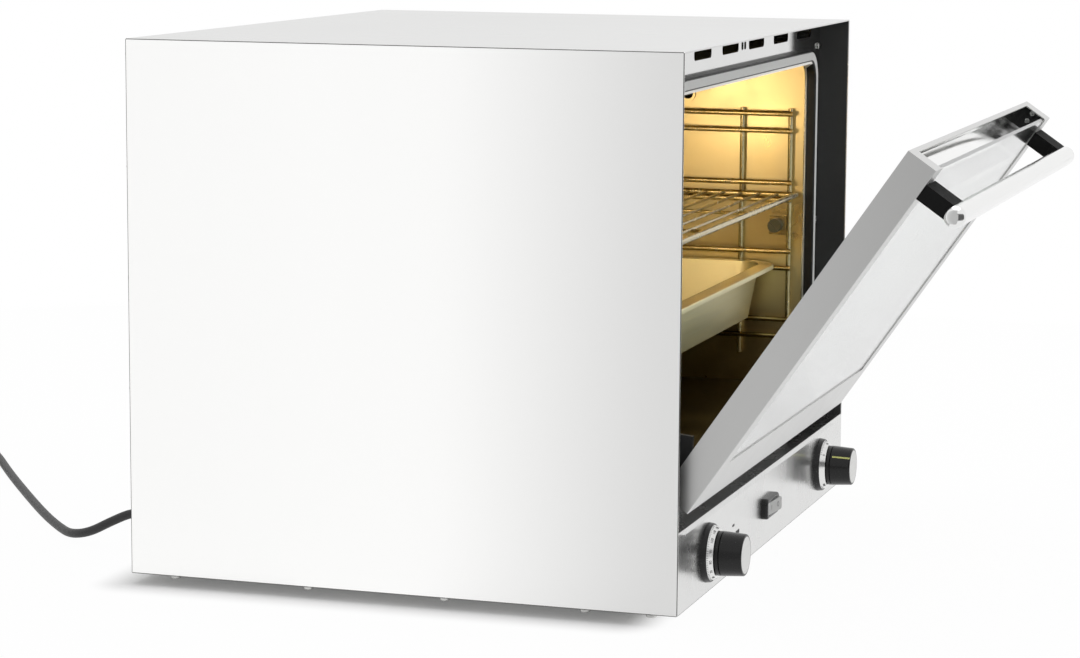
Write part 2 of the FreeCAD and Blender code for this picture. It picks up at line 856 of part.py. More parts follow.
def knobBase(x):
    top = dialRingRadius + dialEdgeRound
    base = coneY(yFront - dialBaseHeight, yFront, x, zControls, top, dialBaseRadius)
    rim = [e for e in base.Edges if len(e.Vertexes) == 1 and e.CenterOfMass.y < yFront - dialBaseHeight / 2]
    base = base.makeFillet(dialEdgeRound, rim)
    return base.cut(rodY(yFront - 2 * dialBaseHeight, yFront + 1, x, zControls, shaftRadius + panelHoleGap))


def dialRing(x):
    y = yFront - dialBaseHeight
    ring = coneY(y - dialRingHeight, y, x, zControls, dialRingTopRadius, dialRingRadius)
    return ring.cut(rodY(y - 2 * dialRingHeight, y + 1, x, zControls, shaftRadius + panelHoleGap))


def knobGrip(x):
    y = yFront - dialBaseHeight - dialRingHeight - turnGap
    collar = rodY(y - gripCollar, y, x, zControls, gripRadius)
    yStem = y - gripCollar - gripCollarGroove
    groove = rodY(yStem, y - gripCollar, x, zControls, gripTopRadius - gripCollarGroove)
    stem = coneY(y - gripLength, yStem, x, zControls, gripTopRadius, gripRadius)
    collar = collar.makeFillet(gripCollarRound, [e for e in collar.Edges if len(e.Vertexes) == 1])
    end = [e for e in stem.Edges if len(e.Vertexes) == 1 and e.CenterOfMass.y < y - gripLength / 2]
    grip = fused([collar, groove, stem.makeFillet(gripEdgeRound, end)])
    recess = rodY(y - gripLength - 1, y - gripLength + capThickness, x, zControls, capRadius)
    bore = rodY(y - gripLength + 2 * capThickness, y + 1, x, zControls, shaftRadius)
    return grip.cut(recess).cut(bore)


def knobCap(x):
    y = yFront - dialBaseHeight - dialRingHeight - turnGap - gripLength
    return rodY(y, y + capThickness, x, zControls, capRadius)


def knobShaft(x):
    y = yFront - dialBaseHeight - dialRingHeight - turnGap - gripLength + 2 * capThickness
    return rodY(y, yFront + sheet + controlBodyDepth / 2, x, zControls, shaftRadius)


def controlBody(x):
    y = yFront + sheet
    body = box(x - controlBodyWidth / 2, x + controlBodyWidth / 2, y, y + controlBodyDepth,
               zControls - controlBodyHeight / 2, zControls + controlBodyHeight / 2)
    return body.cut(rodY(y - 1, y + controlBodyDepth / 2 + 1, x, zControls, shaftRadius + shaftRunningGap))


def switchBezel():
    frame = roundedBlock(switchWidth / 2, switchHeight / 2, switchCornerRadius,
                         yFront - switchProud, yFront, zControls)
    rim = [e for e in frame.Edges if abs(e.CenterOfMass.y - (yFront - switchProud)) < 1e-6]
    frame = frame.makeFillet(switchEdgeRound, rim)
    half = switchWidth / 2 - switchWall
    high = switchHeight / 2 - switchWall
    radius = switchCornerRadius - switchWall
    case = roundedBlock(half, high, radius, yFront, yFront + sheet + 2 * rockerStem, zControls)
    well = roundedBlock(half - 1, high - 1, radius - 1,
                        yFront - 2 * switchProud, yFront + sheet + rockerStem, zControls)
    return frame.fuse(case).removeSplitter().cut(well).cut(rockerPin(shaftRunningGap))


def yRocker():
    return yFront - switchProud + switchWall


def rockerPin(gap):
    # The upright pin the rocker tilts on, from wall to wall of the bezel's well.
    reach = switchHeight / 2 - switchWall - 1 + rockerPinLength + gap
    return rodZ(zControls - reach, zControls + reach, 0, yRocker(), rockerPinRadius + gap)


def switchRocker():
    # Tilts about an upright line through its middle and rests pressed on its left half.
    half = switchWidth / 2 - switchWall - 1 - rockerGap
    high = switchHeight / 2 - switchWall - 1 - rockerGap
    lift = math.tan(math.radians(rockerTilt)) * half
    yFace = yFront - switchProud - rockerProud
    foot = yRocker() + lift
    points = [(-half, yFace), (half, yFace), (half, yRocker()), (0, foot), (-half, yRocker())]
    spots = [V(x, y, zControls - high) for x, y in points]
    body = Part.Face(Part.makePolygon(spots + spots[:1])).extrude(V(0, 0, 2 * high))
    thick = yRocker() - yFace
    sides = [e for e in body.Edges if abs(abs(e.CenterOfMass.x) - half) < 1e-6]
    ends = [e for e in sides if abs(e.Length - thick) < 1e-6]
    body = body.makeFillet(switchCornerRadius - switchWall - 1, ends)
    body.rotate(V(0, yRocker(), zControls), V(0, 0, 1), -rockerTilt)
    return fused([body, rockerPin(0.0)])


def terminalBlock():
    y1 = yRear - sheet - 2 * glandFlangeThickness
    x0 = glandX - terminalWidth / 2
    z0 = zBase + sheet
    z1 = z0 + terminalHeight
    block = box(x0, x0 + terminalWidth, y1 - terminalDepth, y1, z0, z1)
    wells = []
    for i in range(3):
        x = x0 + terminalWidth * (i + 0.5) / 3
        wells.append(rodZ(z0 + terminalHeight / 2, z1 + 1, x, y1 - terminalDepth / 2, screwHeadRadius))
    return block.cut(Part.makeCompound(wells))


# Door, built shut and then swung open to the resting angle

def lugX():
    return xDoor - lugInset - lugThickness


def lugSlot():
    # Room in the door for the fixed hinge lug through the whole swing.
    x = lugX()
    return box(x - lugSideGap, x + lugThickness + lugSideGap, yHinge - lugEyeRadius - 2 * lugSideGap, yFrame,
               zDoorLow - doorSheet, zHinge + lugTop)


def doorShell():
    y0 = yDoorOut
    front = box(-xDoor, xDoor, y0, y0 + doorSheet, zDoorLow, zDoorHigh)
    window = box(-xDoor + stileWidth, xDoor - stileWidth, y0 - 1, y0 + 2 * doorSheet,
                 zDoorLow + bottomRail, zDoorHigh + 1)
    parts = [front.cut(window)]
    parts.append(box(-xDoor, xDoor, y0, yDoorIn - doorSheet, zDoorLow, zDoorLow + doorSheet))
    for side in (-1, 1):
        xa, xb = sorted((side * xDoor, side * (xDoor - doorSheet)))
        parts.append(box(xa, xb, y0, yDoorIn, zDoorLow, zDoorHigh))
        xa, xb = sorted((side * xDoor, side * (xDoor - topEndFlange)))
        parts.append(box(xa, xb, y0, yDoorIn, zDoorHigh - doorSheet, zDoorHigh))
    shell = fused(parts)
    corners = [e for e in shell.Edges if abs(abs(e.CenterOfMass.x) - xDoor) < 1e-6
               and abs(e.CenterOfMass.y - y0) < 1e-6]
    shell = shell.makeFillet(doorEdgeRound, corners)
    slot = lugSlot()
    return opened(shell.cut(slot).cut(mirrored(slot)))


def outerGlass():
    y = yDoorOut + doorSheet
    x = xDoor - stileWidth + glassOverlap
    z0 = zDoorLow + bottomRail - glassOverlap
    return opened(box(-x, x, y, y + glassThickness, z0, zDoorHigh - doorSheet - glassGap))


def innerWindow(grow, y0, y1):
    x = xDoor - innerWindowBorder + grow
    return box(-x, x, y0, y1, zDoorLow + innerWindowBorder - grow, zDoorHigh - innerWindowBorder + grow)


def innerPanel():
    x = xDoor - doorSheet
    back = box(-x, x, yDoorIn - doorSheet, yDoorIn, zDoorLow, zDoorHigh - doorSheet)
    back = back.cut(innerWindow(0, yDoorIn - 2 * doorSheet, yDoorIn + 1))
    xTop = xDoor - topEndFlange
    lip = box(-xTop, xTop, yDoorIn - topFlange, yDoorIn, zDoorHigh - doorSheet, zDoorHigh)
    panel = fused([back, lip])
    slot = lugSlot()
    return opened(panel.cut(slot).cut(mirrored(slot)))


def innerGlass():
    return opened(innerWindow(glassOverlap, yDoorIn - doorSheet - glassThickness, yDoorIn - doorSheet))


def topChannel():
    # The trough under the open top edge of the door, between the two skins.
    y0 = yDoorOut + doorSheet + glassThickness
    y1 = yDoorIn - doorSheet
    x = xDoor - doorSheet
    z = zDoorHigh - doorSheet - channelDrop
    web = box(-x, x, y0, y1, z, z + doorSheet)
    near = box(-x, x, y0, y0 + doorSheet, z, z + channelLip)
    far = box(-x, x, y1 - doorSheet, y1, z, z + channelDrop - glassGap)
    ends = []
    for side in (-1, 1):
        xa, xb = sorted((side * x, side * (x - doorSheet)))
        ends.append(box(xa, xb, y0, y1, z, z + channelDrop - glassGap))
    return opened(fused([web, near, far] + ends))


def hingeBlock():
    x0 = lugX() + lugThickness + lugSideGap
    block = box(x0, xDoor - doorSheet, yDoorOut + doorSheet, yDoorIn - doorSheet,
                zDoorLow + doorSheet, zDoorLow + doorSheet + hingeBlockHeight)
    return block.cut(rodX(x0 - 1, xDoor, yHinge, zHinge, hingePinRadius))


def hingePin():
    return rodX(lugX() - lugSideGap, xDoor - doorSheet, yHinge, zHinge, hingePinRadius)


def hingeLug():
    # A gusset on the front frame that carries the hinge pin in its eye.
    x0 = lugX()
    x1 = x0 + lugThickness
    eye = rodX(x0, x1, yHinge, zHinge, lugEyeRadius)
    zHigh = zHinge + lugTop - 2 * lugSideGap
    web = plateX([(yFrame, zHinge - lugEyeRadius), (yFrame, zHigh), (yHinge - lugNose, zHigh - lugFall),
                  (yHinge - lugNose, zHinge), (yHinge, zHinge - lugEyeRadius)], x0, x1)
    foot = box(x1, x1 + lugFoot, yFrame - lugThickness / 2, yFrame, zHinge, zHigh)
    lug = fused([eye, web, foot])
    return lug.cut(rodX(x0 - 1, x1 + 1, yHinge, zHinge, hingePinRadius + hingeRunningGap))


def yHandle():
    return yDoorOut - handleStandoff


def zHandle():
    return zDoorHigh - handleDrop


def handleTube():
    tube = rodX(-xDoor - handleOverhang, xDoor + handleOverhang, yHandle(), zHandle(), handleRadius)
    rims = [e for e in tube.Edges if len(e.Vertexes) == 1]
    return opened(tube.makeFillet(handleEndRound, rims))


def handleBrackets():
    arms = []
    grip = rodX(-xOuter, xOuter, yHandle(), zHandle(), handleRadius)
    for side in (-1, 1):
        xa, xb = sorted((side * (xDoor - sheet), side * (xDoor - sheet - bracketWidth)))
        arm = box(xa, xb, yHandle(), yDoorOut, zHandle() - bracketHeight / 2, zHandle() + bracketHeight / 2)
        arms.append(opened(arm.cut(grip)))
    return group(arms)


# Mains lead: gland, free run on the floor, coil, tie and plug

def cordGland():
    y0 = yRear - sheet - glandFlangeThickness
    y1 = yRear + glandFlangeThickness
    flange = rodY(yRear, y1, glandX, glandHeight, glandFlangeRadius)
    sleeve = coneY(y1, yRear + glandLength, glandX, glandHeight, glandRootRadius, glandTipRadius)
    neck = rodY(y0, yRear, glandX, glandHeight, glandNeckRadius)
    nut = rodY(y0, yRear - sheet, glandX, glandHeight, glandRootRadius)
    return fused([flange, sleeve, neck, nut])


def cordRoute():
    # Middle of the lead from the gland's tip to the coil, drooping to the floor and running off behind.
    tip = V(glandX, yRear + glandLength, glandHeight)
    drop = [tip + V(across, back, -down) for across, back, down in cordDropBends]
    floor = [V(tip.x + across, tip.y + back, cordRadius) for across, back in cordFloorBends]
    return [tip] + drop + floor


def roundedPath(points):
    # Straight runs joined by arcs as large as the shorter neighbouring run allows.
    edges = []
    radii = []
    last = points[0]
    for before, corner, after in zip(points, points[1:], points[2:]):
        into = (corner - before).normalize()
        out = (after - corner).normalize()
        half = into.getAngle(out) / 2
        shorter = min((corner - before).Length, (after - corner).Length)
        cut = 0.45 * shorter
        start = corner - into * cut
        end = corner + out * cut
        radius = cut / math.tan(half)
        toward = (out - into).normalize()
        centre = corner + toward * (radius / math.cos(half))
        middle = centre - toward * radius
        edges.append(Part.LineSegment(last, start).toShape())
        edges.append(Part.Arc(start, middle, end).toShape())
        radii.append(round(radius, 1))
        last = end
    edges.append(Part.LineSegment(last, points[-1]).toShape())
    return Part.Wire(edges), radii


def tubeAlong(path, start, direction):
    section = Part.Wire(Part.makeCircle(cordRadius, start, direction))
    return path.makePipeShell([section], True, False)


def powerCord():
    route = cordRoute()
    path, radii = roundedPath(route)
    tube = tubeAlong(path, route[0], route[1] - route[0])
    share = tube.Volume / (math.pi * cordRadius ** 2 * path.Length)
    print("lead radii", radii)
    print("lead length", round(path.Length, 1), "volume share", round(share, 5))
    return tube


def coilSpot(turn):
    # Place and direction on the coil after a number of turns, counted from where the lead joins it.
    middle = coilTurns / 2
    inner = coilRadius - coilStep * middle / 2
    radius = inner + coilStep * abs(turn - middle)
    slope = 0.0 if abs(turn - middle) < 1e-6 else math.copysign(coilStep, turn - middle)
    climb = min(max((turn - middle + 0.25) / 0.5, 0.0), 1.0)
    z = coilStep * climb * climb * (3 - 2 * climb)
    rise = coilStep * 6 * climb * (1 - climb) / 0.5
    a = 2 * math.pi * turn
    out = V(math.cos(a), math.sin(a), 0)
    along = V(-math.sin(a), math.cos(a), 0)
    spot = out * radius + V(0, 0, z)
    course = along * (2 * math.pi * radius) + out * slope + V(0, 0, rise)
    return spot, course.normalize()


def biarc(p0, t0, p1, t1):
    # Two arcs that leave p0 along t0 and reach p1 along t1.
    v = p1 - p0
    a = 2 * (1 - t0.dot(t1))
    b = 2 * v.dot(t0 + t1)
    d = (-b + math.sqrt(b * b + 4 * a * v.dot(v))) / (2 * a)
    q0 = p0 + t0 * d
    q1 = p1 - t1 * d
    joint = (q0 + q1) * 0.5
    return [tangentArc(p0, q0, joint), tangentArc(joint, q1, p1)]


def tangentArc(start, apex, end):
    chord = (start + end) * 0.5
    half = (end - start).Length / 2
    height = (apex - chord).Length
    lean = math.atan2(height, half)
    sagitta = half / math.sin(lean) * (1 - math.cos(lean))
    return Part.Arc(start, chord + (apex - chord).normalize() * sagitta, end).toShape()


def coilPath():
    steps = coilTurns * 4
    nodes = [coilSpot(i / 4) for i in range(steps + 1)]
    lead = nodes[0][0] - nodes[0][1] * (2 * cordRadius)
    edges = [Part.LineSegment(lead, nodes[0][0]).toShape()]
    for (p0, t0), (p1, t1) in zip(nodes, nodes[1:]):
        edges += biarc(p0, t0, p1, t1)
    edges.append(Part.LineSegment(nodes[-1][0], nodes[-1][0] + nodes[-1][1] * cordTail).toShape())
    return edges, lead, nodes


def coilPlacement():
    # Sets the coil's first point on the lead's last one, with the same heading.
    route = cordRoute()
    heading = route[-1] - route[-2]
    edges, lead, nodes = coilPath()
    turn = math.degrees(math.atan2(heading.y, heading.x) - math.atan2(nodes[0][1].y, nodes[0][1].x))
    place = FreeCAD.Placement(V(0, 0, 0), FreeCAD.Rotation(V(0, 0, 1), turn))
    shift = route[-1] - place.multVec(lead)
    place.Base = shift
    return place


def selfGap(path):
    spots = []
    run = 0.0
    for edge in path.Edges:
        count = max(2, int(edge.Length / 2))
        for i in range(count):
            t = edge.FirstParameter + (edge.LastParameter - edge.FirstParameter) * i / count
            spots.append((run + edge.Length * i / count, edge.valueAt(t)))
        run += edge.Length
    apart = 8 * cordRadius
    least = min((p - q).Length for i, (s, p) in enumerate(spots) for u, q in spots[i + 1:] if u - s > apart)
    return least - 2 * cordRadius


def cordCoil():
    edges, lead, nodes = coilPath()
    path = Part.Wire(edges)
    tube = tubeAlong(path, lead, nodes[0][1])
    share = tube.Volume / (math.pi * cordRadius ** 2 * path.Length)
    print("coil length", round(path.Length, 1), "volume share", round(share, 5))
    print("coil least gap", round(selfGap(path), 2))
    tube.Placement = coilPlacement()
    return tube


def coilTie():
    # A band round the turns on the side away from the lead.
    middle = coilTurns / 2
    inner = coilRadius - coilStep * middle / 2
    r0 = inner - cordRadius - tieGap
    r1 = inner + coilStep + cordRadius + tieGap
    z0 = -cordRadius
    z1 = coilStep + cordRadius + tieGap
    band = box(-r1 - tieThickness, -r0 + tieThickness, -tieWidth / 2, tieWidth / 2, z0, z1 + tieThickness)
    gap = box(-r1, -r0, -tieWidth, tieWidth, z0 - 1, z1)
    band = band.cut(gap)
    band.Placement = coilPlacement()
    return band


def plug():
    spot, course = coilSpot(coilTurns)
    start = spot + course * cordTail
    relief = Part.makeCone(cordRadius, plugReliefRadius, plugReliefLength, start, course)
    face = start + course * plugReliefLength
    body = Part.makeCylinder(plugRadius, plugLength, face, course)
    rims = [e for e in body.Edges if len(e.Vertexes) == 1]
    body = body.makeFillet(plugRadius * 0.2, rims)
    parts = [relief, body]
    across = V(-course.y, course.x, 0).normalize()
    for side in (-1, 1):
        pin = Part.makeCylinder(plugPinRadius, plugPinLength, face + course * plugLength
                                + across * (side * plugPinSpacing / 2), course)
        parts.append(pin)
    whole = fused(parts)
    whole.Placement = coilPlacement()
    return whole


def main():
    os.makedirs("parts", exist_ok=True)
    side = sidePanel()
    liner = recessLiner()
    wall = rack()
    lug = hingeLug()
    block = hingeBlock()
    pin = hingePin()
    save("side_panel_right", side)
    save("side_panel_left", mirrored(side))
    save("top_panel", topPanel())
    save("rear_panel", rearPanel())
    save("base_plate", basePlate())
    save("feet", feet())
    save("recess_liners", group([liner, mirrored(liner)]))
    save("front_frame", frontFrame())
    save("casing_screws", group(casingScrewList() + frameScrewList()))
    save("door_seal", doorSeal())
    save("chamber_floor", chamberFloor())
    save("chamber_roof", chamberRoof())
    save("chamber_wall_left", chamberSideWall(-1))
    save("chamber_wall_right", chamberSideWall(1))
    save("chamber_back_wall", chamberBackWall())
    save("chamber_stays", group(stayList()))
    save("insulation", insulation())
    save("fan_motor", fanMotor())
    save("fan_shaft", fanShaft())
    save("fan_impeller", fanImpeller())
    save("fan_guard", fanGuard())
    save("heating_element", heatingElement())
    save("lamp_holder", lampHolder())
    save("lamp_lens", lampLens())
    save("lamp_bulb", lampBulb())
    save("temperature_probe", temperatureProbe())
    save("vent_bush", ventBush())
    save("side_racks", group([wall, mirrored(wall)]))
    save("rack_nuts", rackNuts())
    save("wire_shelf", wireShelf())
    save("baking_pan", bakingPan())
    save("control_panel", controlPanel())
    save("dial_bases", group([knobBase(-xKnob), knobBase(xKnob)]))
    save("dial_rings", group([dialRing(-xKnob), dialRing(xKnob)]))
    for name, x in (("timer", -xKnob), ("thermostat", xKnob)):
        save(name + "_knob_grip", knobGrip(x))
        save(name + "_knob_cap", knobCap(x))
        save(name + "_shaft", knobShaft(x))
        save(name + "_body", controlBody(x))
    save("switch_bezel", switchBezel())
    save("switch_rocker", switchRocker())
    save("terminal_block", terminalBlock())
    save("door_shell", doorShell())
    save("door_outer_glass", outerGlass())
    save("door_inner_panel", innerPanel())
    save("door_inner_glass", innerGlass())
    save("door_top_channel", topChannel())
    save("hinge_blocks", group([opened(block), opened(mirrored(block))]))
    save("hinge_pins", group([opened(pin), opened(mirrored(pin))]))
    save("hinge_lugs", group([lug, mirrored(lug)]))
    save("handle_tube", handleTube())
    save("handle_brackets", handleBrackets())
    save("cord_gland", cordGland())
    save("power_cord", powerCord())
    save("cord_coil", cordCoil())
    save("cord_tie", coilTie())
    save("mains_plug", plug())


main()
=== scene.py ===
import math

import bmesh
import bpy
from mathutils import Matrix, Vector


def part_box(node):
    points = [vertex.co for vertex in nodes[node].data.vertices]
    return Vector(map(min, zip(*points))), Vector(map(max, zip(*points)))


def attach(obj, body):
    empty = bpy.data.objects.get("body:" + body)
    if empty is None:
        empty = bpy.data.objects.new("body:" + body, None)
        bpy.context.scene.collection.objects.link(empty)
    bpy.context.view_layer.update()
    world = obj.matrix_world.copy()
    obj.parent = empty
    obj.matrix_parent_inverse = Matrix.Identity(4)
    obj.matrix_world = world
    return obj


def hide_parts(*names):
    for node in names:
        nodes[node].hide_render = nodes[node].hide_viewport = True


# Countertop convection oven with its glass door ajar. Metres, +Z up, front towards -Y.

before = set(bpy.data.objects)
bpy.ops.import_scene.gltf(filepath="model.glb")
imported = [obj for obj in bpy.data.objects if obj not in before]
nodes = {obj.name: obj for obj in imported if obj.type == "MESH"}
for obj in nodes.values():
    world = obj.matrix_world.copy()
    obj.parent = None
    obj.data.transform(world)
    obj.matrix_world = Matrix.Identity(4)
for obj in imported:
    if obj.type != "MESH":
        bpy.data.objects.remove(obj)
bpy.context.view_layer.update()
scene = bpy.context.scene
scene.view_settings.view_transform = "Standard"
mm = 0.001
print("frame loaded:", len(nodes), "nodes")


def linear(hexText):
    # sRGB hex to linear colour
    channels = [int(hexText[i:i + 2], 16) / 255 for i in (0, 2, 4)]
    return [c / 12.92 if c <= 0.04045 else ((c + 0.055) / 1.055) ** 2.4 for c in channels] + [1.0]


def setInputs(tree, node, inputs):
    for key, value in inputs.items():
        if isinstance(value, bpy.types.NodeSocket):
            tree.links.new(value, node.inputs[key])
        else:
            node.inputs[key].default_value = value


def addNode(tree, kind, settings, inputs):
    # one node with its settings, plain values and links
    node = tree.nodes.new(kind)
    for key, value in settings.items():
        setattr(node, key, value)
    setInputs(tree, node, inputs)
    return node


def newMaterial(name, colour, metallic, roughness):
    material = bpy.data.materials.new(name)
    material.use_nodes = True
    tree = material.node_tree
    shader = tree.nodes["Principled BSDF"]
    setInputs(tree, shader, {"Base Color": linear(colour), "Metallic": metallic,
                             "Roughness": roughness})
    place = addNode(tree, "ShaderNodeTexCoord", {}, {}).outputs["Object"]
    return material, tree, shader, place


# Materials: the scale of a pattern is 1000 over its real size in millimetres

noiseSpan = {"From Min": 0.3, "From Max": 0.7}  # most values of a noise texture lie between these
grain = {"length": 120.0, "apart": 1.5}


def brushedStainless(name, along, colour, rough):
    # Stainless sheet ground one way: a soft sheen drawn out across the grain. Real scratches are
    # about 0.1 mm apart, and these are wider apart so that they show
    material, tree, shader, place = newMaterial(name, colour, 1.0, rough)
    run = [1000 / (grain["length"] if axis == along else grain["apart"]) for axis in "XYZ"]
    drawn = addNode(tree, "ShaderNodeMapping", {}, {"Vector": place, "Scale": run})
    lines = addNode(tree, "ShaderNodeTexNoise", {},
                    {"Vector": drawn.outputs[0], "Scale": 1.0, "Detail": 4.0})
    cloud = addNode(tree, "ShaderNodeTexNoise", {},
                    {"Vector": place, "Scale": 1000 / 220, "Detail": 2.0})
    both = addNode(tree, "ShaderNodeMath", {"operation": "MULTIPLY_ADD"},
                   {0: cloud.outputs[0], 1: 0.6, 2: lines.outputs[0]})
    sheen = addNode(tree, "ShaderNodeMapRange", {},
                    {"Value": both.outputs[0], "From Min": 0.5, "From Max": 1.1,
                     "To Min": rough - 0.04, "To Max": rough + 0.05})
    scratch = addNode(tree, "ShaderNodeBump", {},
                      {"Height": lines.outputs[0], "Distance": 0.02 * mm, "Strength": 0.25})
    setInputs(tree, shader, {"Roughness": sheen.outputs[0], "Normal": scratch.outputs[0]})
    return material


def rolledStainless(name, colour, rough):
    # Rolled stainless, mirror or satin by its roughness, with slow waves and faint smudges
    material, tree, shader, place = newMaterial(name, colour, 1.0, rough)
    waves = addNode(tree, "ShaderNodeTexNoise", {},
                    {"Vector": place, "Scale": 1000 / 160, "Detail": 1.0})
    smudge = addNode(tree, "ShaderNodeTexNoise", {},
                     {"Vector": place, "Scale": 1000 / 35, "Detail": 4.0})
    sheen = addNode(tree, "ShaderNodeMapRange", {},
                    {"Value": smudge.outputs[0], **noiseSpan,
                     "To Min": rough, "To Max": rough + 0.06})
    ripple = addNode(tree, "ShaderNodeBump", {},
                     {"Height": waves.outputs[0], "Distance": 0.2 * mm, "Strength": 0.3})
    setInputs(tree, shader, {"Roughness": sheen.outputs[0], "Normal": ripple.outputs[0]})
    return material


def heatTintedStainless(name, brown, straw):
    # Chamber sheet after some bakes: bright stainless with a straw tint, browner in patches, and
    # waves left from the press
    material, tree, shader, place = newMaterial(name, straw, 1.0, 0.36)
    patch = addNode(tree, "ShaderNodeTexNoise", {},
                    {"Vector": place, "Scale": 1000 / 90, "Detail": 4.0})
    tint = addNode(tree, "ShaderNodeMix", {"data_type": "RGBA"},
                   {0: patch.outputs[0], 6: linear(brown), 7: linear(straw)})
    sheen = addNode(tree, "ShaderNodeMapRange", {},
                    {"Value": patch.outputs[0], **noiseSpan, "To Min": 0.25, "To Max": 0.37})
    waves = addNode(tree, "ShaderNodeTexNoise", {},
                    {"Vector": place, "Scale": 1000 / 120, "Detail": 1.0})
    ripple = addNode(tree, "ShaderNodeBump", {},
                     {"Height": waves.outputs[0], "Distance": 0.25 * mm, "Strength": 0.12})
    setInputs(tree, shader, {"Base Color": tint.outputs[2], "Roughness": sheen.outputs[0],
                             "Normal": ripple.outputs[0]})
    return material


def platedWire():
    # Nickel-plated steel wire: bright, with straw and brown tarnish from the heat
    material, tree, shader, place = newMaterial("nickelPlatedWire", "BFAE84", 1.0, 0.2)
    tarnish = addNode(tree, "ShaderNodeTexNoise", {},
                      {"Vector": place, "Scale": 1000 / 18, "Detail": 3.0})
    tint = addNode(tree, "ShaderNodeMix", {"data_type": "RGBA"},
                   {0: tarnish.outputs[0], 6: linear("9F8A58"), 7: linear("DCD0AC")})
    sheen = addNode(tree, "ShaderNodeMapRange", {},
                    {"Value": tarnish.outputs[0], **noiseSpan, "To Min": 0.14, "To Max": 0.3})
    setInputs(tree, shader, {"Base Color": tint.outputs[2], "Roughness": sheen.outputs[0]})
    return material


def pressedAluminium():
    # Pressed aluminium pan: pale and satin, with rolling lines along its length
    material, tree, shader, place = newMaterial("pressedAluminium", "EBE0B4", 1.0, 0.36)
    drawn = addNode(tree, "ShaderNodeMapping", {},
                    {"Vector": place, "Scale": (1000 / 120, 1000 / 2.5, 1000 / 2.5)})
    lines = addNode(tree, "ShaderNodeTexNoise", {},
                    {"Vector": drawn.outputs[0], "Scale": 1.0, "Detail": 3.0})
    sheen = addNode(tree, "ShaderNodeMapRange", {},
                    {"Value": lines.outputs[0], **noiseSpan, "To Min": 0.3, "To Max": 0.44})
    scratch = addNode(tree, "ShaderNodeBump", {},
                      {"Height": lines.outputs[0], "Distance": 0.03 * mm, "Strength": 0.3})
    setInputs(tree, shader, {"Roughness": sheen.outputs[0], "Normal": scratch.outputs[0]})
    return material


def bakedEnamel(name, colour, rough, specular):
    # Baked enamel on steel: an even dark coat with a light orange-peel ripple
    material, tree, shader, place = newMaterial(name, colour, 0.0, rough)
    peel = addNode(tree, "ShaderNodeTexNoise", {},
                   {"Vector": place, "Scale": 1000 / 3.0, "Detail": 1.0})
    sheen = addNode(tree, "ShaderNodeMapRange", {},
                    {"Value": peel.outputs[0], **noiseSpan,
                     "To Min": rough - 0.05, "To Max": rough + 0.08})
    ripple = addNode(tree, "ShaderNodeBump", {},
                     {"Height": peel.outputs[0], "Distance": 0.03 * mm, "Strength": 0.25})
    setInputs(tree, shader, {"Roughness": sheen.outputs[0], "Normal": ripple.outputs[0],
                             "Specular IOR Level": specular})
    return material


def mouldedRubber(name, colour, rough, cell):
    # Moulded rubber: dark, with a fine bloom that breaks up the sheen
    material, tree, shader, place = newMaterial(name, colour, 0.0, rough)
    bloom = addNode(tree, "ShaderNodeTexNoise", {},
                    {"Vector": place, "Scale": 1000 / cell, "Detail": 4.0})
    sheen = addNode(tree, "ShaderNodeMapRange", {},
                    {"Value": bloom.outputs[0], **noiseSpan,
                     "To Min": rough - 0.08, "To Max": rough + 0.1})
    skin = addNode(tree, "ShaderNodeBump", {},
                   {"Height": bloom.outputs[0], "Distance": 0.05 * mm, "Strength": 0.3})
    setInputs(tree, shader, {"Roughness": sheen.outputs[0], "Normal": skin.outputs[0], "IOR": 1.52})
    return material


def mouldedPlastic(name, colour, rough, cell):
    # Injection-moulded plastic with a spark-eroded texture of about this cell in millimetres
    material, tree, shader, place = newMaterial(name, colour, 0.0, rough)
    texture = addNode(tree, "ShaderNodeTexNoise", {},
                      {"Vector": place, "Scale": 1000 / cell, "Detail": 2.0})
    sheen = addNode(tree, "ShaderNodeMapRange", {},
                    {"Value": texture.outputs[0], **noiseSpan,
                     "To Min": rough - 0.05, "To Max": rough + 0.08})
    skin = addNode(tree, "ShaderNodeBump", {},
                   {"Height": texture.outputs[0], "Distance": 0.03 * mm, "Strength": 0.3})
    setInputs(tree, shader, {"Roughness": sheen.outputs[0], "Normal": skin.outputs[0], "IOR": 1.4})
    return material


def satinMetal(name, colour, rough, cell):
    # Turned, drawn or plated metal: a satin sheen broken along tool marks of this size in
    # millimetres
    material, tree, shader, place = newMaterial(name, colour, 1.0, rough)
    drawn = addNode(tree, "ShaderNodeMapping", {},
                    {"Vector": place, "Scale": [1000 / size for size in cell]})
    marks = addNode(tree, "ShaderNodeTexNoise", {},
                    {"Vector": drawn.outputs[0], "Scale": 1.0, "Detail": 2.0})
    sheen = addNode(tree, "ShaderNodeMapRange", {},
                    {"Value": marks.outputs[0], **noiseSpan,
                     "To Min": rough - 0.06, "To Max": rough + 0.08})
    scratch = addNode(tree, "ShaderNodeBump", {},
                      {"Height": marks.outputs[0], "Distance": 0.02 * mm, "Strength": 0.3})
    setInputs(tree, shader, {"Roughness": sheen.outputs[0], "Normal": scratch.outputs[0]})
    return material


def toughenedGlass():
    # Clear toughened glass with fine smears, whose heat-reflecting coat gives most of its gloss
    material, tree, shader, place = newMaterial("toughenedGlass", "F2F7F4", 0.0, 0.02)
    smear = addNode(tree, "ShaderNodeTexNoise", {},
                    {"Vector": place, "Scale": 1000 / 60, "Detail": 3.0})
    sheen = addNode(tree, "ShaderNodeMapRange", {},
                    {"Value": smear.outputs[0], "From Min": 0.4, "From Max": 0.8,
                     "To Min": 0.06, "To Max": 0.1})
    setInputs(tree, shader, {"Roughness": sheen.outputs[0], "IOR": 1.12, "Transmission Weight": 1.0,
                             "Coat Weight": 1.0, "Coat Roughness": 0.22, "Coat IOR": 1.8})
    return material


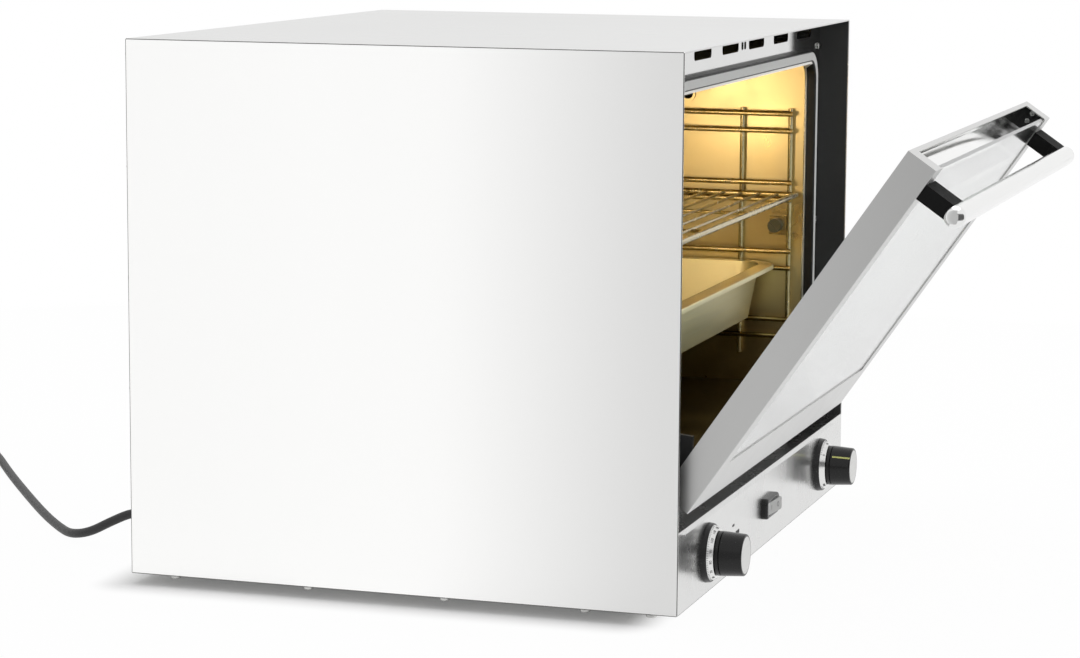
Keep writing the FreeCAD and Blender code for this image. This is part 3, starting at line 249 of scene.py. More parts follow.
def lampGlass():
    # Pressed lamp glass lit from behind: warm and clouded
    material, tree, shader, place = newMaterial("pressedLampGlass", "FFE7B0", 0.0, 0.25)
    cloud = addNode(tree, "ShaderNodeTexNoise", {},
                    {"Vector": place, "Scale": 1000 / 6, "Detail": 2.0})
    sheen = addNode(tree, "ShaderNodeMapRange", {},
                    {"Value": cloud.outputs[0], **noiseSpan, "To Min": 0.2, "To Max": 0.4})
    setInputs(tree, shader, {"Roughness": sheen.outputs[0], "Transmission Weight": 0.7,
                             "Emission Color": linear("FFD98A"), "Emission Strength": 1.5})
    return material


def mineralWool():
    # Compressed mineral wool: dull straw-brown fibres
    material, tree, shader, place = newMaterial("mineralWool", "8A7A54", 0.0, 0.95)
    drawn = addNode(tree, "ShaderNodeMapping", {},
                    {"Vector": place, "Scale": (1000 / 3, 1000 / 12, 1000 / 3)})
    fibre = addNode(tree, "ShaderNodeTexNoise", {},
                    {"Vector": drawn.outputs[0], "Scale": 1.0, "Detail": 6.0})
    tint = addNode(tree, "ShaderNodeMix", {"data_type": "RGBA"},
                   {0: fibre.outputs[0], 6: linear("6E5F3C"), 7: linear("A8986E")})
    fuzz = addNode(tree, "ShaderNodeBump", {},
                   {"Height": fibre.outputs[0], "Distance": 1.2 * mm, "Strength": 0.8})
    setInputs(tree, shader, {"Base Color": tint.outputs[2], "Normal": fuzz.outputs[0]})
    return material


def printedInk(name, colour):
    # Screen-printed ink: flat and matt with a slightly uneven film
    material, tree, shader, place = newMaterial(name, colour, 0.0, 0.6)
    film = addNode(tree, "ShaderNodeTexNoise", {},
                   {"Vector": place, "Scale": 1000 / 1.5, "Detail": 2.0})
    sheen = addNode(tree, "ShaderNodeMapRange", {},
                    {"Value": film.outputs[0], **noiseSpan, "To Min": 0.5, "To Max": 0.7})
    setInputs(tree, shader, {"Roughness": sheen.outputs[0]})
    return material


# The sides' stainless is nearly white, far paler than the other panels' stainless: painted light
litSideSteel = brushedStainless("litSatinStainlessSides", "Z", "FDFDFC", 0.33)
topSteel = brushedStainless("satinStainlessTop", "Y", "CFCFCE", 0.3)
rearSteel = brushedStainless("satinStainlessRear", "X", "CCCCCA", 0.36)
frameSteel = rolledStainless("brightStainlessFrame", "D2D2D1", 0.07)
panelSteel = rolledStainless("brightStainlessPanel", "D8D8D7", 0.23)
doorSteel = rolledStainless("satinStainlessDoor", "CECECD", 0.36)
# The channel's steel is paler than the door's own: painted light in the deep channel
litChannelSteel = satinMetal("brightDrawnSteel", "F2F2F1", 0.12, (60.0, 20.0, 20.0))
# Dark grey for rods along the folds: painted shade and dark reflection
foldShadeSteel = satinMetal("paintedFoldShadeSteel", "5C5C5B", 0.5, (3.0, 3.0, 3.0))
# Pale steel for the rim inside the seal: painted highlight
rimHighlightSteel = satinMetal("paleRimHighlight", "F2F0EA", 0.5, (3.0, 3.0, 3.0))
chamberSteel = heatTintedStainless("heatTintedStainless", "D8C184", "ECDDB4")
# The floor's copy of the chamber steel is darker
floorSteel = heatTintedStainless("darkerStainlessFloor", "8A7340", "A8925C")
wire = platedWire()
panAluminium = pressedAluminium()
# Also the dark sheets on the door's end walls, where it is painted shade
darkEnamelAndShade = bakedEnamel("charcoalEnamelAndPaintedShade", "404040", 0.5, 0.3)
motorEnamel = bakedEnamel("greyMotorEnamel", "3A3C3E", 0.3, 0.5)
bracketEnamel = bakedEnamel("blackBracketEnamel", "191919", 0.7, 0.08)
sealRubber = mouldedRubber("blackSiliconeRubber", "0E0E0E", 0.4, 2.0)
# A pale copy of the seal rubber for the crest: painted highlight
sealCrestHighlight = mouldedRubber("paleSiliconeCrestHighlight", "DCDCDB", 0.5, 2.0)
footRubber = mouldedRubber("blackNitrileRubber", "1C1C1C", 0.6, 3.0)
cordRubber = mouldedRubber("blackCordRubber", "141414", 0.5, 2.5)
gripPlastic = mouldedPlastic("blackPhenolic", "0E0E0E", 0.25, 1.2)
switchPlastic = mouldedPlastic("blackAbs", "121212", 0.25, 1.0)
rockerPlastic = mouldedPlastic("greyAbs", "C4C4C3", 0.35, 1.0)
casePlastic = mouldedPlastic("creamNylon", "DDD6C2", 0.5, 1.5)
dialAluminium = satinMetal("anodisedAluminium", "E2E2E1", 0.22, (2.0, 0.6, 2.0))
capAluminium = satinMetal("brushedCapAluminium", "D2D2D0", 0.34, (60.0, 60.0, 1.2))
handleSteel = satinMetal("polishedHandleTube", "E8E8E7", 0.14, (80.0, 1.2, 1.2))
zincSteel = satinMetal("zincPlatedSteel", "C6C6C4", 0.26, (3.0, 3.0, 3.0))
nutSteel = satinMetal("oxidisedNutSteel", "7A7A6A", 0.45, (2.0, 2.0, 2.0))
fanSteel = satinMetal("aluminisedFanSteel", "B5A98C", 0.36, (4.0, 4.0, 4.0))
heaterSheath = satinMetal("oxidisedHeaterSheath", "4A443C", 0.5, (5.0, 5.0, 5.0))
glass = toughenedGlass()
lampLens = lampGlass()
wool = mineralWool()
blackInk = printedInk("blackPrint", "181818")
pointerPaint = printedInk("limePointerPaint", "F2F592")

finishes = {
    litSideSteel: ["side_panel_left", "side_panel_right"],
    topSteel: ["top_panel"],
    rearSteel: ["rear_panel", "base_plate", "chamber_stays"],
    frameSteel: ["front_frame"],
    panelSteel: ["control_panel"],
    doorSteel: ["door_shell", "door_inner_panel"],
    litChannelSteel: ["door_top_channel"],
    floorSteel: ["chamber_floor"],
    chamberSteel: ["chamber_roof", "chamber_wall_left", "chamber_wall_right", "chamber_back_wall",
                   "fan_guard", "lamp_holder", "vent_bush", "temperature_probe"],
    wire: ["side_racks", "wire_shelf"],
    panAluminium: ["baking_pan"],
    darkEnamelAndShade: ["recess_liners", "hinge_blocks", "hinge_lugs"],
    sealRubber: ["door_seal"],
    footRubber: ["feet"],
    cordRubber: ["cord_gland", "power_cord", "cord_coil", "cord_tie", "mains_plug"],
    gripPlastic: ["dial_bases", "timer_knob_grip", "thermostat_knob_grip"],
    dialAluminium: ["dial_rings"],
    capAluminium: ["timer_knob_cap", "thermostat_knob_cap"],
    zincSteel: ["casing_screws", "hinge_pins", "timer_shaft", "thermostat_shaft"],
    nutSteel: ["rack_nuts"],
    fanSteel: ["fan_impeller", "fan_shaft"],
    heaterSheath: ["heating_element"],
    motorEnamel: ["fan_motor"],
    bracketEnamel: ["handle_brackets"],
    handleSteel: ["handle_tube"],
    switchPlastic: ["switch_bezel"],
    rockerPlastic: ["switch_rocker"],
    casePlastic: ["timer_body", "thermostat_body", "terminal_block"],
    glass: ["door_outer_glass", "door_inner_glass"],
    lampLens: ["lamp_lens", "lamp_bulb"],
    wool: ["insulation"],
}
for material, names in finishes.items():
    for name in names:
        mesh = nodes[name].data
        mesh.materials.clear()
        mesh.materials.append(material)
print("materials set on", sum(len(names) for names in finishes.values()), "nodes")


# Camera

cameraFit = {"place": (-3.2925, -1.0943, 0.7421), "azimuth": 72.119, "down": 8.319, "roll": 0.383,
             "lens": 104.43, "sensor": 36.0, "farthest": 60.0}


def placeCamera(fit):
    camera = bpy.data.cameras.new("camera")
    camera.lens = fit["lens"]
    camera.sensor_width = fit["sensor"]
    camera.clip_end = fit["farthest"]
    holder = bpy.data.objects.new("camera", camera)
    scene.collection.objects.link(holder)
    turn = Matrix.Rotation(math.radians(-fit["azimuth"]), 4, "Z")
    tip = Matrix.Rotation(math.radians(90 - fit["down"]), 4, "X")
    roll = Matrix.Rotation(math.radians(fit["roll"]), 4, "Z")
    holder.matrix_world = Matrix.Translation(fit["place"]) @ turn @ tip @ roll
    scene.camera = holder


placeCamera(cameraFit)
print("camera placed")


# Mains lead

lead = {
    "radius": 5.0 * mm,
    "route": [(-0.210, 0.340, 0.042), (-0.210, 0.366, 0.042), (-0.210, 0.395, 0.029),
              (-0.208, 0.423, 0.014), (-0.195, 0.452, 0.007), (-0.163, 0.481, 0.005),
              (-0.104, 0.530, 0.005), (-0.010, 0.600, 0.005), (0.110, 0.687, 0.005),
              (0.221, 0.763, 0.005), (0.300, 0.828, 0.005)],
    "coilRadius": 55.0 * mm,
    "coilStep": 10.7 * mm,
    "coilTurns": 3,
    "climbTurns": 0.5,
    "pointsPerTurn": 16,
    "smoothness": 6,
    "tail": 25.0 * mm,
    "length": 1.816,
}


def coilPoint(turn):
    # place on the coil after a number of turns, wound in on the floor and out on top of itself
    middle = lead["coilTurns"] / 2
    inner = lead["coilRadius"] - lead["coilStep"] * middle / 2
    radius = inner + lead["coilStep"] * abs(turn - middle)
    climb = min(max((turn - middle + lead["climbTurns"] / 2) / lead["climbTurns"], 0.0), 1.0)
    height = lead["coilStep"] * climb * climb * (3 - 2 * climb)
    angle = 2 * math.pi * turn
    return Vector((radius * math.cos(angle), radius * math.sin(angle), height))


def coilCourse(turn, step=1e-4):
    return (coilPoint(turn + step) - coilPoint(turn - step)).normalized()


def coilPlacement():
    # the coil starts where the floor run ends, with the same heading
    route = [Vector(p) for p in lead["route"]]
    heading = route[-1] - route[-2]
    begin = coilCourse(0.0)
    turn = math.atan2(heading.y, heading.x) - math.atan2(begin.y, begin.x)
    spin = Matrix.Rotation(turn, 4, "Z")
    first = coilPoint(0.0) - begin * 2 * lead["radius"]
    return Matrix.Translation(route[-1] - spin @ first) @ spin


def buildLead():
    place = coilPlacement()
    steps = lead["coilTurns"] * lead["pointsPerTurn"]
    swell = 1 / math.cos(math.pi / lead["pointsPerTurn"])  # the spline runs inside its points
    points = [Vector(p) for p in lead["route"]]
    for i in range(1, steps + 1):
        spot = coilPoint(i / lead["pointsPerTurn"])
        points.append(place @ Vector((spot.x * swell, spot.y * swell, spot.z)))
    end = coilPoint(lead["coilTurns"])
    points.append(place @ (end + coilCourse(lead["coilTurns"]) * lead["tail"]))
    curve = bpy.data.curves.new("mainsLead", "CURVE")
    curve.dimensions = "3D"
    curve.bevel_depth = lead["radius"]
    curve.bevel_resolution = lead["smoothness"]
    curve.resolution_u = lead["smoothness"]
    curve.use_fill_caps = True
    spline = curve.splines.new("NURBS")
    spline.points.add(len(points) - 1)
    for knot, point in zip(spline.points, points):
        knot.co = (*point, 1.0)
    spline.order_u = 3
    spline.use_endpoint_u = True
    curve.materials.append(cordRubber)
    cord = bpy.data.objects.new("mainsLead", curve)
    scene.collection.objects.link(cord)
    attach(cord, "casing")
    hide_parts("power_cord", "cord_coil")


buildLead()
print("mains lead wound")


# Added pieces

def addPiece(name, shape, material, body, sharp=35):
    # a finished mesh as an object at the origin that rides on a body
    mesh = bpy.data.meshes.new(name)
    shape.to_mesh(mesh)
    shape.free()
    mesh.materials.append(material)
    mesh.shade_smooth()
    mesh.set_sharp_from_angle(angle=math.radians(sharp))
    piece = bpy.data.objects.new(name, mesh)
    scene.collection.objects.link(piece)
    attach(piece, body)
    return piece


def ringPlate(low, high, corner, width, steps=12):
    # a rounded ring of this width standing across Y, as large as a box
    shape = bmesh.new()
    bmesh.ops.create_grid(shape, x_segments=1, y_segments=1, size=0.5)
    bmesh.ops.scale(shape, vec=(high.x - low.x, high.z - low.z, 1.0), verts=shape.verts)
    bmesh.ops.bevel(shape, geom=shape.verts[:], offset=corner, affect="VERTICES", segments=steps,
                    profile=0.5, material=-1)
    inset = bmesh.ops.inset_region(shape, faces=shape.faces[:], thickness=width, use_boundary=True,
                                   use_even_offset=True)
    ring = set(inset["faces"])
    hole = [face for face in shape.faces if face not in ring]
    bmesh.ops.delete(shape, geom=hole, context="FACES")
    bmesh.ops.rotate(shape, matrix=Matrix.Rotation(math.radians(90), 3, "X"), verts=shape.verts)
    middle = ((low.x + high.x) / 2, high.y, (low.z + high.z) / 2)
    bmesh.ops.translate(shape, vec=middle, verts=shape.verts)
    return shape


def raiseRing(shape, height, fold=60):
    # draws the flat ring out towards the front and returns its two front rims, which fold by more
    # than this many degrees
    grown = bmesh.ops.extrude_face_region(shape, geom=shape.faces[:], use_keep_orig=True)["geom"]
    front = {item for item in grown if isinstance(item, bmesh.types.BMVert)}
    bmesh.ops.translate(shape, vec=(0.0, -height, 0.0), verts=list(front))
    bmesh.ops.recalc_face_normals(shape, faces=shape.faces[:])
    return [edge for edge in shape.edges
            if set(edge.verts) <= front and edge.calc_face_angle(0.0) > math.radians(fold)]


sealRing = {"corner": 35 * mm, "width": 12 * mm, "crest": 2.2 * mm, "crestSteps": 5, "highlightFacing": -0.9}


def buildSeal():
    low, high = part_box("door_seal")
    shape = ringPlate(low, high, sealRing["corner"], sealRing["width"])
    rims = raiseRing(shape, high.y - low.y)
    bmesh.ops.bevel(shape, geom=rims, offset=sealRing["crest"], affect="EDGES",
                    segments=sealRing["crestSteps"], profile=0.5, material=-1)
    shape.normal_update()
    for face in shape.faces:
        face.material_index = int(face.normal.y < sealRing["highlightFacing"])  # the front-facing crest faces take the pale colour: a painted highlight
    piece = addPiece("doorSeal", shape, sealRubber, "casing")
    piece.data.materials.append(sealCrestHighlight)
    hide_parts("door_seal")


mouthRim = {"corner": 22.9 * mm, "width": 2.8 * mm, "grow": 0.9 * mm, "proud": 10.5 * mm,
            "fall": 6.0 * mm, "sink": 0.88}


def buildMouthRim():
    # The chamber sheet's turned-out edge, a thin bright line inside the seal; its pale colour is a
    # painted highlight
    left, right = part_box("chamber_wall_left"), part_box("chamber_wall_right")
    floor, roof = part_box("chamber_floor"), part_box("chamber_roof")
    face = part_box("front_frame")[0].y
    grow = mouthRim["grow"]
    low = Vector((left[1].x - grow, face, floor[1].z - grow))
    high = Vector((right[0].x + grow, face, roof[0].z + grow))
    shape = ringPlate(low, high, mouthRim["corner"], mouthRim["width"])
    raiseRing(shape, mouthRim["proud"])
    for vert in shape.verts:  # only the upper limb stands out as far as the seal's crest
        drop = (high.z - mouthRim["width"] - vert.co.z) / mouthRim["fall"]
        vert.co.y += (face - vert.co.y) * min(max(drop, 0.0), 1.0) * mouthRim["sink"]
    addPiece("mouthRim", shape, rimHighlightSteel, "casing")


screwHead = {"radius": 4.5 * mm, "height": 2.6 * mm, "edge": 1.4 * mm, "recess": 5.0 * mm,
             "blade": 1.1 * mm, "deep": 1.4 * mm, "sides": 32, "edgeSteps": 4}


def crossHead():
    # A pan head with a cross recess, standing on the XY plane
    pan = bmesh.new()
    bmesh.ops.create_cone(pan, cap_ends=True, segments=screwHead["sides"],
                          radius1=screwHead["radius"], radius2=screwHead["radius"],
                          depth=screwHead["height"])
    top = [edge for edge in pan.edges if all(vert.co.z > 0 for vert in edge.verts)]
    bmesh.ops.bevel(pan, geom=top, offset=screwHead["edge"], affect="EDGES",
                    segments=screwHead["edgeSteps"], profile=0.5, material=-1)
    bmesh.ops.translate(pan, vec=(0.0, 0.0, screwHead["height"] / 2), verts=pan.verts)
    cross = bmesh.new()
    size = (screwHead["recess"], screwHead["blade"], 2 * screwHead["deep"])
    for angle in (0, 90):
        blade = bmesh.ops.create_cube(cross, size=1.0)["verts"]
        bmesh.ops.scale(cross, vec=size, verts=blade)
        bmesh.ops.rotate(cross, matrix=Matrix.Rotation(math.radians(angle), 3, "Z"), verts=blade)
        bmesh.ops.translate(cross, vec=(0.0, 0.0, screwHead["height"]), verts=blade)
    parts = []
    for shape in (pan, cross):
        mesh = bpy.data.meshes.new("screwPart")
        shape.to_mesh(mesh)
        shape.free()
        parts.append(bpy.data.objects.new("screwPart", mesh))
        scene.collection.objects.link(parts[-1])
    cut = parts[0].modifiers.new("recess", "BOOLEAN")
    cut.object = parts[1]
    cut.operation = "DIFFERENCE"
    cut.solver = "EXACT"
    cut.use_self = True
    bpy.context.view_layer.update()
    graph = bpy.context.evaluated_depsgraph_get()
    head = bpy.data.meshes.new_from_object(parts[0].evaluated_get(graph))
    for part in parts:
        bpy.data.meshes.remove(part.data)
    return head


def stamp(shape, mesh, place, outward, twist=0.0, scale=1.0):
    # adds a copy of a mesh with its foot at a place and its axis along a direction
    copy = mesh.copy()
    turn = Vector(outward).to_track_quat("Z", "Y").to_matrix().to_4x4()
    copy.transform(Matrix.Translation(place) @ turn @ Matrix.Rotation(twist, 4, "Z")
                   @ Matrix.Scale(scale, 4))
    shape.from_mesh(copy)
    bpy.data.meshes.remove(copy)


casingScrews = {"x": 0.361, "baseX": 0.3642, "baseScale": 1.25,
                "rearY": 0.296, "rearZ": [0.554 - i * 0.1155 for i in range(5)],
                "baseZ": 0.012, "baseY": [0.248, 0.099, -0.050, -0.199, -0.268],
                "frameX": 0.356, "frameY": -0.261, "frameZ": [0.539, 0.332],
                "twist": 0.7}


def buildCasingScrews(head):
    shape = bmesh.new()
    spots = []
    for side in (-1, 1):
        rear, base, face = (side * casingScrews[key] for key in ("x", "baseX", "frameX"))
        spots += [((rear, casingScrews["rearY"], z), (0, 1, 0), 1.0) for z in casingScrews["rearZ"]]
        spots += [((base, y, casingScrews["baseZ"]), (0, 0, -1), casingScrews["baseScale"])
                  for y in casingScrews["baseY"]]
        spots += [((face, casingScrews["frameY"], z), (0, -1, 0), 1.0)
                  for z in casingScrews["frameZ"]]
    for i, (place, outward, scale) in enumerate(spots):
        stamp(shape, head, place, outward, twist=casingScrews["twist"] * i, scale=scale)
    piece = addPiece("crossHeadScrews", shape, zincSteel, "casing", sharp=40)
    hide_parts("casing_screws")


foldShadeLines = {"radius": 0.7 * mm, "inset": 0.72 * mm, "sides": 12}


def buildFoldLines():
    # Dark rods round each side panel and under the control panel, where the sheet is folded:
    # painted shade and dark reflection of the folds
    shape = bmesh.new()
    inset = Vector((foldShadeLines["inset"],) * 3)
    runs = []
    for name, side in (("side_panel_left", -1), ("side_panel_right", 1)):
        low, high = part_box(name)
        low, high = low + inset, high - inset
        x = high.x if side > 0 else low.x
        corners = [Vector((x, high.y, low.z)), Vector((x, high.y, high.z)),
                   Vector((x, low.y, high.z)), Vector((x, low.y, low.z))]
        runs += [(corners[i - 1], corners[i]) for i in range(4)]
    low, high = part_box("control_panel")
    runs.append((Vector((low.x, low.y, low.z)) + inset,
                 Vector((high.x, low.y, low.z)) + inset * Vector((-1, 1, 1))))
    for start, end in runs:
        rod = bmesh.ops.create_cone(shape, cap_ends=True, segments=foldShadeLines["sides"],
                                    radius1=foldShadeLines["radius"], radius2=foldShadeLines["radius"],
                                    depth=(end - start).length)["verts"]
        turn = (end - start).to_track_quat("Z", "Y").to_matrix().to_4x4()
        bmesh.ops.transform(shape, matrix=Matrix.Translation((start + end) / 2) @ turn, verts=rod)
    addPiece("foldShadeLines", shape, foldShadeSteel, "casing")


hinge = Vector((0.0, -0.291, 0.127))
doorOpen = math.radians(34.5)  # how far the door stands open at rest
doorTurn = (Matrix.Translation(hinge) @ Matrix.Rotation(doorOpen, 4, "X")
            @ Matrix.Translation(-hinge))
doorEnds = {"x": 0.3476, "y": (-0.300, -0.2755), "z": (0.486, 0.541), "thick": 0.7 * mm,
            "edge": 0.2 * mm, "screwY": -0.287, "screwZ": (0.5365, 0.5265), "screwScale": 0.7,
            "screwTwist": 40, "plateX": (-0.342, 0.225), "plateZ": 0.533, "plateThick": 1.2 * mm,
            "plateEdge": 0.3 * mm}


def buildDoorEnds(head):
    # Dark sheets on the two end walls inside the door's open top, each held by two screws: painted
    # shade of the deep ends
    pads = bmesh.new()
    screws = bmesh.new()
    thick, deep = doorEnds["thick"], doorEnds["y"][1] - doorEnds["y"][0]
    size = (thick, deep, doorEnds["z"][1] - doorEnds["z"][0])
    middleY, middleZ = sum(doorEnds["y"]) / 2, sum(doorEnds["z"]) / 2
    for side in (-1, 1):
        inner, middleX = side * (doorEnds["x"] - thick), side * (doorEnds["x"] - thick / 2)
        slab = bmesh.ops.create_cube(pads, size=1.0)["verts"]
        bmesh.ops.scale(pads, vec=size, verts=slab)
        bmesh.ops.translate(pads, vec=(middleX, middleY, middleZ), verts=slab)
        for z in doorEnds["screwZ"]:
            stamp(screws, head, (inner, doorEnds["screwY"], z), (-side, 0, 0),
                  twist=z * doorEnds["screwTwist"], scale=doorEnds["screwScale"])
    bmesh.ops.bevel(pads, geom=pads.edges[:], offset=doorEnds["edge"], affect="EDGES", segments=2,
                    profile=0.5, material=-1)
    # a pale plate across the open top, which stops short of the far end: painted light in the deep
    # channel
    plate = bmesh.new()
    long, plateX = doorEnds["plateX"][1] - doorEnds["plateX"][0], sum(doorEnds["plateX"]) / 2
    bmesh.ops.create_cube(plate, size=1.0)
    bmesh.ops.scale(plate, vec=(long, deep, doorEnds["plateThick"]), verts=plate.verts)
    bmesh.ops.translate(plate, vec=(plateX, middleY, doorEnds["plateZ"]), verts=plate.verts)
    bmesh.ops.bevel(plate, geom=plate.edges[:], offset=doorEnds["plateEdge"], affect="EDGES",
                    segments=2, profile=0.5, material=-1)
    for shape in (pads, screws, plate):
        bmesh.ops.transform(shape, matrix=doorTurn, verts=shape.verts)
    addPiece("doorTopLightPlate", plate, litChannelSteel, "door")
    addPiece("doorEndShadeSheets", pads, darkEnamelAndShade, "door")
    addPiece("doorEndScrews", screws, zincSteel, "door", sharp=40)


def textMesh(words, size, thick):
    # flat lettering of this height, centred on the origin
    curve = bpy.data.curves.new("lettering", "FONT")
    curve.body = words
    curve.size = size
    curve.extrude = thick
    curve.align_x = "CENTER"
    curve.align_y = "CENTER"
    holder = bpy.data.objects.new("lettering", curve)
    scene.collection.objects.link(holder)
    bpy.context.view_layer.update()
    graph = bpy.context.evaluated_depsgraph_get()
    mesh = bpy.data.meshes.new_from_object(holder.evaluated_get(graph))
    bpy.data.objects.remove(holder)
    bpy.data.curves.remove(curve)
    return mesh


dials = {
    "z": 54 * mm,
    "ringY": -302 * mm,
    "ringHeight": 6.0 * mm,
    "ringRadii": (28.5 * mm, 25.0 * mm),
    "gripY": (-313.4 * mm, -336.4 * mm),
    "gripRadii": (23.0 * mm, 21.5 * mm),
    "figure": 4.0 * mm,
    "figureReach": 0.66,
    "film": 0.06 * mm,
    "tick": (0.5 * mm, 1.6 * mm),
    "tickReach": 0.16,
    "pointer": (2.0 * mm, 20.5 * mm, 0.5 * mm),
    "pointerEdge": 0.15 * mm,
    "pointerReach": 0.52,
    "timer": {"x": -0.255, "start": 60, "sweep": 300, "ticks": 60,
              "figures": [str(10 * i) for i in range(13)]},
    "thermostat": {"x": 0.255, "start": -54, "sweep": 270, "ticks": 50,
                   "figures": ["0"] + [str(50 * i) for i in range(1, 7)]},
}


def coneFrame(x, turn, y, radii, reach):
    # a place on a cone about Y: turn is clockwise from the top, reach runs from 0 at the back edge
    # to 1 at the front
    tall = y[0] - y[1]
    fall = radii[0] - radii[1]
    out = Vector((math.sin(turn), 0.0, math.cos(turn)))
    normal = (out * tall + Vector((0.0, -fall, 0.0))).normalized()
    up = (out * fall + Vector((0.0, tall, 0.0))).normalized()
    spot = Vector((x, y[0] - tall * reach, dials["z"])) + out * (radii[0] - fall * reach)
    turned = Matrix((up.cross(normal), up, normal)).transposed().to_4x4()
    return Matrix.Translation(spot) @ turned


def buildDialMarks():
    shape = bmesh.new()
    ring = (dials["ringY"], dials["ringY"] - dials["ringHeight"])
    radii = dials["ringRadii"]
    for knob in (dials["timer"], dials["thermostat"]):
        for i, words in enumerate(knob["figures"]):
            turn = math.radians(knob["start"] + knob["sweep"] * i / (len(knob["figures"]) - 1))
            mesh = textMesh(words, dials["figure"], dials["film"])
            mesh.transform(coneFrame(knob["x"], turn, ring, radii, dials["figureReach"]))
            shape.from_mesh(mesh)
            bpy.data.meshes.remove(mesh)
        for i in range(knob["ticks"] + 1):
            turn = math.radians(knob["start"] + knob["sweep"] * i / knob["ticks"])
            bar = bmesh.ops.create_cube(shape, size=1.0)["verts"]
            bmesh.ops.scale(shape, vec=(*dials["tick"], 2 * dials["film"]), verts=bar)
            place = coneFrame(knob["x"], turn, ring, radii, dials["tickReach"])
            bmesh.ops.transform(shape, matrix=place, verts=bar)
    addPiece("dialMarks", shape, blackInk, "casing")


def buildPointer(name, knob, body):
    # A painted line let into the grip
    shape = bmesh.new()
    bmesh.ops.create_cube(shape, size=1.0)
    bmesh.ops.scale(shape, vec=dials["pointer"], verts=shape.verts)
    bmesh.ops.bevel(shape, geom=shape.edges[:], offset=dials["pointerEdge"], affect="EDGES",
                    segments=2, profile=0.5, material=-1)
    place = coneFrame(knob["x"], math.radians(knob["start"]), dials["gripY"], dials["gripRadii"],
                      dials["pointerReach"])
    bmesh.ops.transform(shape, matrix=place, verts=shape.verts)
    addPiece(name, shape, pointerPaint, body)


panelMark = {"y": -0.296, "film": 0.06 * mm, "round": 1.2 * mm, "roundSteps": 4,
             "bars": [(-0.150, 0.0612, 9 * mm, 2.6 * mm), (-0.132, 0.0508, 15 * mm, 4.2 * mm)]}
rockerMarks = {"pivot": (0.0, -0.300, 0.054), "tilt": -5, "face": -0.0046, "apart": 11 * mm,
               "size": 8 * mm}


def buildMarks():
    # Two short strokes beside the timer, and the signs on the rocker
    shape = bmesh.new()
    for x, z, long, thick in panelMark["bars"]:
        bar = bmesh.ops.create_cube(shape, size=1.0)["verts"]
        bmesh.ops.scale(shape, vec=(long, 2 * panelMark["film"], thick), verts=bar)
        bmesh.ops.translate(shape, vec=(x, panelMark["y"], z), verts=bar)
    # only the edges that go through the film are as short as this
    short = [edge for edge in shape.edges if edge.calc_length() < 3 * panelMark["film"]]
    bmesh.ops.bevel(shape, geom=short, offset=panelMark["round"], affect="EDGES",
                    segments=panelMark["roundSteps"], profile=0.5, material=-1)
    addPiece("panelMark", shape, blackInk, "casing")
    shape = bmesh.new()
    tip = Matrix.Rotation(math.radians(rockerMarks["tilt"]), 4, "Z")
    tilted = Matrix.Translation(rockerMarks["pivot"]) @ tip
    for side, words in ((-1, "I"), (1, "O")):
        mesh = textMesh(words, rockerMarks["size"], panelMark["film"])
        local = Matrix.Translation((side * rockerMarks["apart"], rockerMarks["face"], 0.0))
        mesh.transform(tilted @ local @ Matrix.Rotation(math.radians(90), 4, "X"))
        shape.from_mesh(mesh)
        bpy.data.meshes.remove(mesh)
    addPiece("rockerMarks", shape, blackInk, "rocker")


buildSeal()
buildMouthRim()
screwMesh = crossHead()
buildCasingScrews(screwMesh)
buildFoldLines()
buildDoorEnds(screwMesh)
bpy.data.meshes.remove(screwMesh)
buildDialMarks()
buildPointer("timerPointer", dials["timer"], "timer_knob")
buildPointer("thermostatPointer", dials["thermostat"], "thermostat_knob")
buildMarks()
print("seal, screws and marks added")


# Studio

studio = {"floorRadius": 6.0, "floorSides": 96, "ambient": 0.6, "shadowFront": -0.235,
          "shadowReach": 0.05, "shadowLift": (0.1, 0.97), "paleStart": 0.6, "paleEnd": 1.6}


def shownRays(tree):
    # 1 for rays that show the backdrop itself: from the camera, in gloss and through glass
    path = addNode(tree, "ShaderNodeLightPath", {}, {})
    first = addNode(tree, "ShaderNodeMath", {"operation": "MAXIMUM"},
                    {0: path.outputs["Is Camera Ray"], 1: path.outputs["Is Glossy Ray"]})
    return addNode(tree, "ShaderNodeMath", {"operation": "MAXIMUM"},
                   {0: first.outputs[0], 1: path.outputs["Is Transmission Ray"]}).outputs[0]


def buildWorld():
    world = bpy.data.worlds.new("studio")
    world.use_nodes = True
    tree = world.node_tree
    tree.nodes.clear()
    light = addNode(tree, "ShaderNodeBackground", {},
                    {"Color": linear("FFFFFF"), "Strength": studio["ambient"]})
    shown = addNode(tree, "ShaderNodeBackground", {}, {"Color": linear("FFFFFF"), "Strength": 1.0})
    mix = addNode(tree, "ShaderNodeMixShader", {},
                  {0: shownRays(tree), 1: light.outputs[0], 2: shown.outputs[0]})
    addNode(tree, "ShaderNodeOutputWorld", {}, {"Surface": mix.outputs[0]})
    scene.world = world


